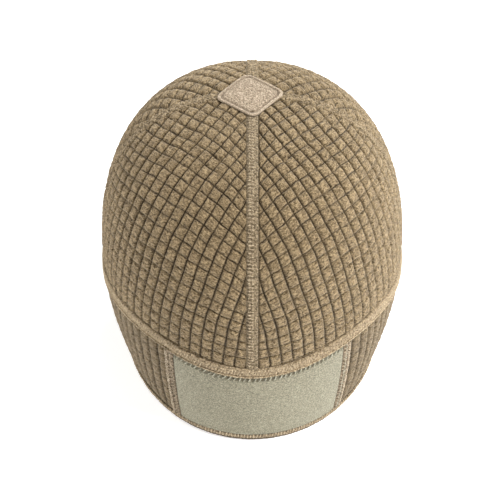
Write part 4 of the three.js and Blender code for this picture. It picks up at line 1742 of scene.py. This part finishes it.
@dataclass(frozen=True)
class LoopPanel:
    """The loop-faced panel at the front of the band, its backing and the seams at its ends."""

    room: Workroom
    start: float = -30.0
    end: float = 35.4
    seam_angle: float = 3.5
    joint_angle: float = 0.2
    low: float = 4.8
    proud: float = 0.75
    thick: float = 1.2
    puff: float = 0.5
    columns: int = 200
    rows: int = 96
    per_radian: float = 92.0
    fineness: float = 2.2
    seam_step: float = 0.35
    knots: float = 0.16
    bare_end: float = 0.6
    edge_sink: float = 0.5
    backing_thick: float = 2.5
    backing_gap: float = 0.3
    backing_grid: tuple[int, int] = (48, 24)
    zigzag_pitch: float = 2.75
    zigzag_level: float = 1.9
    zigzag_seed: int = 51
    foot_seed: int = 52
    zigzag: Stitch = Stitch(0.45, 2.6, 0.45, 0.38, turn_jitter=7.0)
    foot_stitch: Stitch = Stitch(0.3, 1.5, 0.25, 0.2)
    seam_stitch: Stitch = Stitch(0.75, 1.9, turn_jitter=12.0)
    edging_stitch: Stitch = Stitch(0.5, thread=0.26, turn_jitter=12.0)
    end_seams: tuple[EndSeam, EndSeam] = (
        EndSeam(
            "right", Profile.PANEL_RIGHT, 61,
            pits=(
                PitRow(-0.72, 2.8, width=0.2, depth=0.6, dark=1.0),
                PitRow(0.16, 2.8, 0.4, depth=0.6, dark=0.9),
                PitRow(0.88, 2.8, 0.2, width=0.18, dark=0.95),
            ),
            rows=(StitchRow(1.3, 1.4, 50.0),),
            edging=(StitchRow(-1.0, 2.8, 15.0), StitchRow(-0.5, 2.8, 30.0, 0.5)),
        ),
        EndSeam(
            "left", Profile.PANEL_LEFT, 63,
            pits=(
                PitRow(-0.15, 2.8, width=0.2, depth=0.7, dark=1.0),
                PitRow(0.35, 2.8, 0.5, width=0.18, dark=0.7),
                PitRow(0.85, 2.8, 0.2, dark=0.8),
            ),
            rows=(StitchRow(-2.1, 1.2, 20.0), StitchRow(-1.5, 1.5, -30.0, 0.4)),
        ),
    )

    def grid(self, columns: int, rows: int) -> tuple[Array, Array, Array]:
        """Lay a grid over the panel.

        Args:
            columns: steps round the head.
            rows: steps down.

        Returns:
            Angles, heights, and distances under the top edge.
        """
        phi = np.radians(np.linspace(self.start, self.end, columns + 1))[None, :]
        top = FORM.band_seam(phi) - FORM.seam_width / 2 - 0.2
        z = top + (self.low - top) * np.linspace(0, 1, rows + 1)[:, None]
        return phi + 0 * z, z, top - z

    def sheet(self) -> None:
        """Build the loop-faced sheet."""
        phi, z, under = self.grid(self.columns, self.rows)
        ends = np.minimum(phi - phi[0, 0], phi[0, -1] - phi) * self.per_radian
        edge = np.minimum(np.minimum(z - self.low, ends), under)
        sunk = 0.45 * (1 - smooth(2.2, 3.6, under)) + self.edge_sink * (1 - smooth(0, 2.2, edge)) ** 2
        out = self.proud - sunk + self.puff * smooth(2, 14, edge) - 0.25
        a, b = FlatCloth(wave=0.0).band(phi, z)
        # Painted shade in the sunk strip under the top edge, varying with the zigzag's pitch, and over the
        # whole inner face.
        zigzag = 0.65 + 0.2 * np.cos(TURN * phi * self.per_radian / self.zigzag_pitch)
        masks = {"ease": (smooth(0, 0.8, edge), 0.0), "edge": ((1 - smooth(2.6, 3.4, under)) * zigzag, 1.0)}
        relief = {"Line Depth": 0.0, "Cross Depth": 0.0, "Crown": 0.0, "Crinkle": 0.05, "Lumps": 0.08}
        dropped = ("out", "cloth", "ease", "grain")
        behind = self.thick - self.proud
        sheet = Sheet("loop_face", "loop", "loop_panel", "loop_cloth", behind, relief, dropped)
        flat = ((a - a.min()) * self.fineness, b * self.fineness)
        sheet.build(self.room, phi, FORM.t_at_height(phi, z), out, flat, masks)

    def backing(self) -> None:
        """Build the plain fleece behind the panel."""
        phi, z, _ = self.grid(*self.backing_grid)
        out = self.proud - self.thick - self.backing_gap + 0 * phi
        sheet = Sheet(
            "loop_backing", "backing", "band_front", "grid_fleece", self.backing_thick, None,
            ("out", "cloth"), stride=1,
        )
        t, flat = FORM.t_at_height(phi, z), FlatCloth().band(phi, z)
        sheet.build(self.room, phi, t, out, flat, {"ease": (0 * phi, 0.0)})

    def edge_stitches(self) -> None:
        """Build the zigzag along the panel's top edge and the fine one along the hem."""
        drop = FORM.seam_width / 2 + self.zigzag_level
        high = RoundPath(lambda phi: FORM.band_seam(phi) - drop, self.start + 1.0, self.end - 1.0)
        low = RoundPath(lambda phi: np.full_like(phi, self.low + 0.9), self.start + 1.0, self.end - 1.0)
        names = ("loop", "loop_panel", "loop_thread")
        rows = (StitchRow(0.0, self.zigzag_pitch, 62.0),)
        StitchRun("loop_zigzag", *names, high, rows, self.zigzag, self.zigzag_seed).build(self.room)
        rows = (StitchRow(0.0, 1.7, 60.0), StitchRow(0.0, 1.7, -60.0, 0.5))
        StitchRun(
            "loop_foot_stitches", *names, low, rows, self.foot_stitch, self.foot_seed
        ).build(self.room)

    def end_seam(self, seam: EndSeam) -> None:
        """Build the upright seam at one end of the panel.

        Args:
            seam: its place, its face and its thread.
        """
        middle = (self.seam_angle + self.joint_angle) / 2
        angle = self.end + middle if seam.side == "right" else self.start - middle
        top = float(FORM.band_seam(math.radians(angle))) - FORM.seam_width / 2 - 0.1
        path = UprightPath(angle, top, self.low)
        width = path.radius * math.radians(self.seam_angle - self.joint_angle) + 0.4
        name, node = f"seam_panel_{seam.side}", f"panel_seam_{seam.side}"
        Ribbon(
            name, node, "panel_seam_cloth", path, width, seam.profile, self.seam_step, self.knots, seam.pits
        ).build(self.room)
        StitchRun(
            f"{name}_thread", "seam", node, "pale_thread", path, seam.rows, self.seam_stitch, seam.seed,
            self.bare_end, self.bare_end,
        ).build(self.room)
        if seam.edging:
            StitchRun(
                f"{name}_edging", "loop", "loop_panel", "loop_thread", path, seam.edging, self.edging_stitch,
                seam.seed + 1, self.bare_end, self.bare_end,
            ).build(self.room)

    def build(self) -> None:
        """Build the sheet, its backing, its stitches and its end seams."""
        self.sheet()
        self.backing()
        self.edge_stitches()
        for seam in self.end_seams:
            self.end_seam(seam)


@dataclass(frozen=True)
class Lamp:
    """One soft square lamp that faces the beanie: its place in metres, its side, its watts and its warmth."""

    name: str
    place: tuple[float, float, float]
    size: float
    power: float
    warm: float = 1.0

    def build(self) -> None:
        """Hang the lamp."""
        light = bpy.data.lights.new(self.name, "AREA")
        light.size = self.size
        light.energy = self.power
        light.color = (self.warm, (1 + self.warm) / 2, 1.0)
        lamp = bpy.data.objects.new(self.name, light)
        lamp.location = self.place
        aim = Vector((0.0, 0.0, 0.07)) - Vector(self.place)
        lamp.rotation_euler = aim.to_track_quat("-Z", "Y").to_euler()
        bpy.context.scene.collection.objects.link(lamp)


@dataclass(frozen=True)
class Studio:
    """A pale floor, soft lights and the camera at the photograph's angle."""

    target: tuple[float, float, float] = (-0.0012, -0.0088, 0.0661)
    elevation: float = 41.2
    distance: float = 1.0
    lens: float = 126.9
    floor_size: float = 3.0
    floor_tones: tuple[Colour, Colour] = ((0.93, 0.93, 0.93), (0.95, 0.95, 0.95))
    floor_glow: float = 0.5
    world_level: float = 0.34
    lamps: tuple[Lamp, ...] = (
        Lamp("key", (1.05, -0.5, 1.3), 0.5, 34.0),
        Lamp("left_edge", (-1.35, 0.4, 0.3), 1.2, 24.0),
        Lamp("back", (0.9, 1.2, 1.0), 1.2, 29.0, 0.88),
        Lamp("front", (0.35, -1.4, 0.35), 1.2, 4.0),
    )

    def floor(self) -> None:
        """Lay the floor."""
        half = self.floor_size / MM / 2
        corners = np.array([(-half, -half, 0), (half, -half, 0), (half, half, 0), (-half, half, 0)], float)
        floor = make_piece("studio_floor", corners, [(0, 1, 2, 3)], {})
        paint = bpy.data.materials.new("studio_white")
        paint.use_nodes = True
        paint.node_tree.nodes.clear()
        g = Graph(paint.node_tree)
        dull, clean = self.floor_tones
        keys = {
            "Base Color": g.tint((*dull, 1.0), g.ramp(g.noise(g.place(), 9.0, 3.0), 0.2, 0.8), clean),
            "Roughness": 0.9,
            "Emission Color": (1.0, 1.0, 1.0, 1.0),
            "Emission Strength": self.floor_glow,
        }
        g.add("ShaderNodeOutputMaterial", {0: g.add("ShaderNodeBsdfPrincipled", keys).outputs[0]})
        floor.data.materials.append(paint)

    def camera(self) -> None:
        """Set up the camera."""
        data = bpy.data.cameras.new("camera")
        data.lens = self.lens
        data.sensor_width = 36.0
        data.clip_end = 50.0
        camera = bpy.data.objects.new("camera", data)
        angle = math.radians(self.elevation)
        away = Vector((0.0, -math.cos(angle), math.sin(angle))) * self.distance
        camera.location = Vector(self.target) + away
        camera.rotation_euler = (-away).to_track_quat("-Z", "Y").to_euler()
        bpy.context.scene.collection.objects.link(camera)
        bpy.context.scene.camera = camera

    def build(self) -> None:
        """Build the floor, the lamps, the world and the camera."""
        self.floor()
        for lamp in self.lamps:
            lamp.build()
        world = bpy.data.worlds.new("studio_world")
        world.use_nodes = True
        sky = world.node_tree.nodes["Background"]
        sky.inputs[0].default_value = (1.0, 1.0, 1.0, 1.0)
        sky.inputs[1].default_value = self.world_level
        bpy.context.scene.world = world
        bpy.context.scene.view_settings.view_transform = "Standard"
        self.camera()


def main() -> None:
    """Build the studio and the beanie."""
    logging.basicConfig(level=logging.INFO, format="%(message)s")
    Studio().build()
    room = Workroom()
    for maker in (Crown, CrownPatch, BandWall, LoopPanel):
        maker(room).build()


if __name__ == "__main__":
    main()
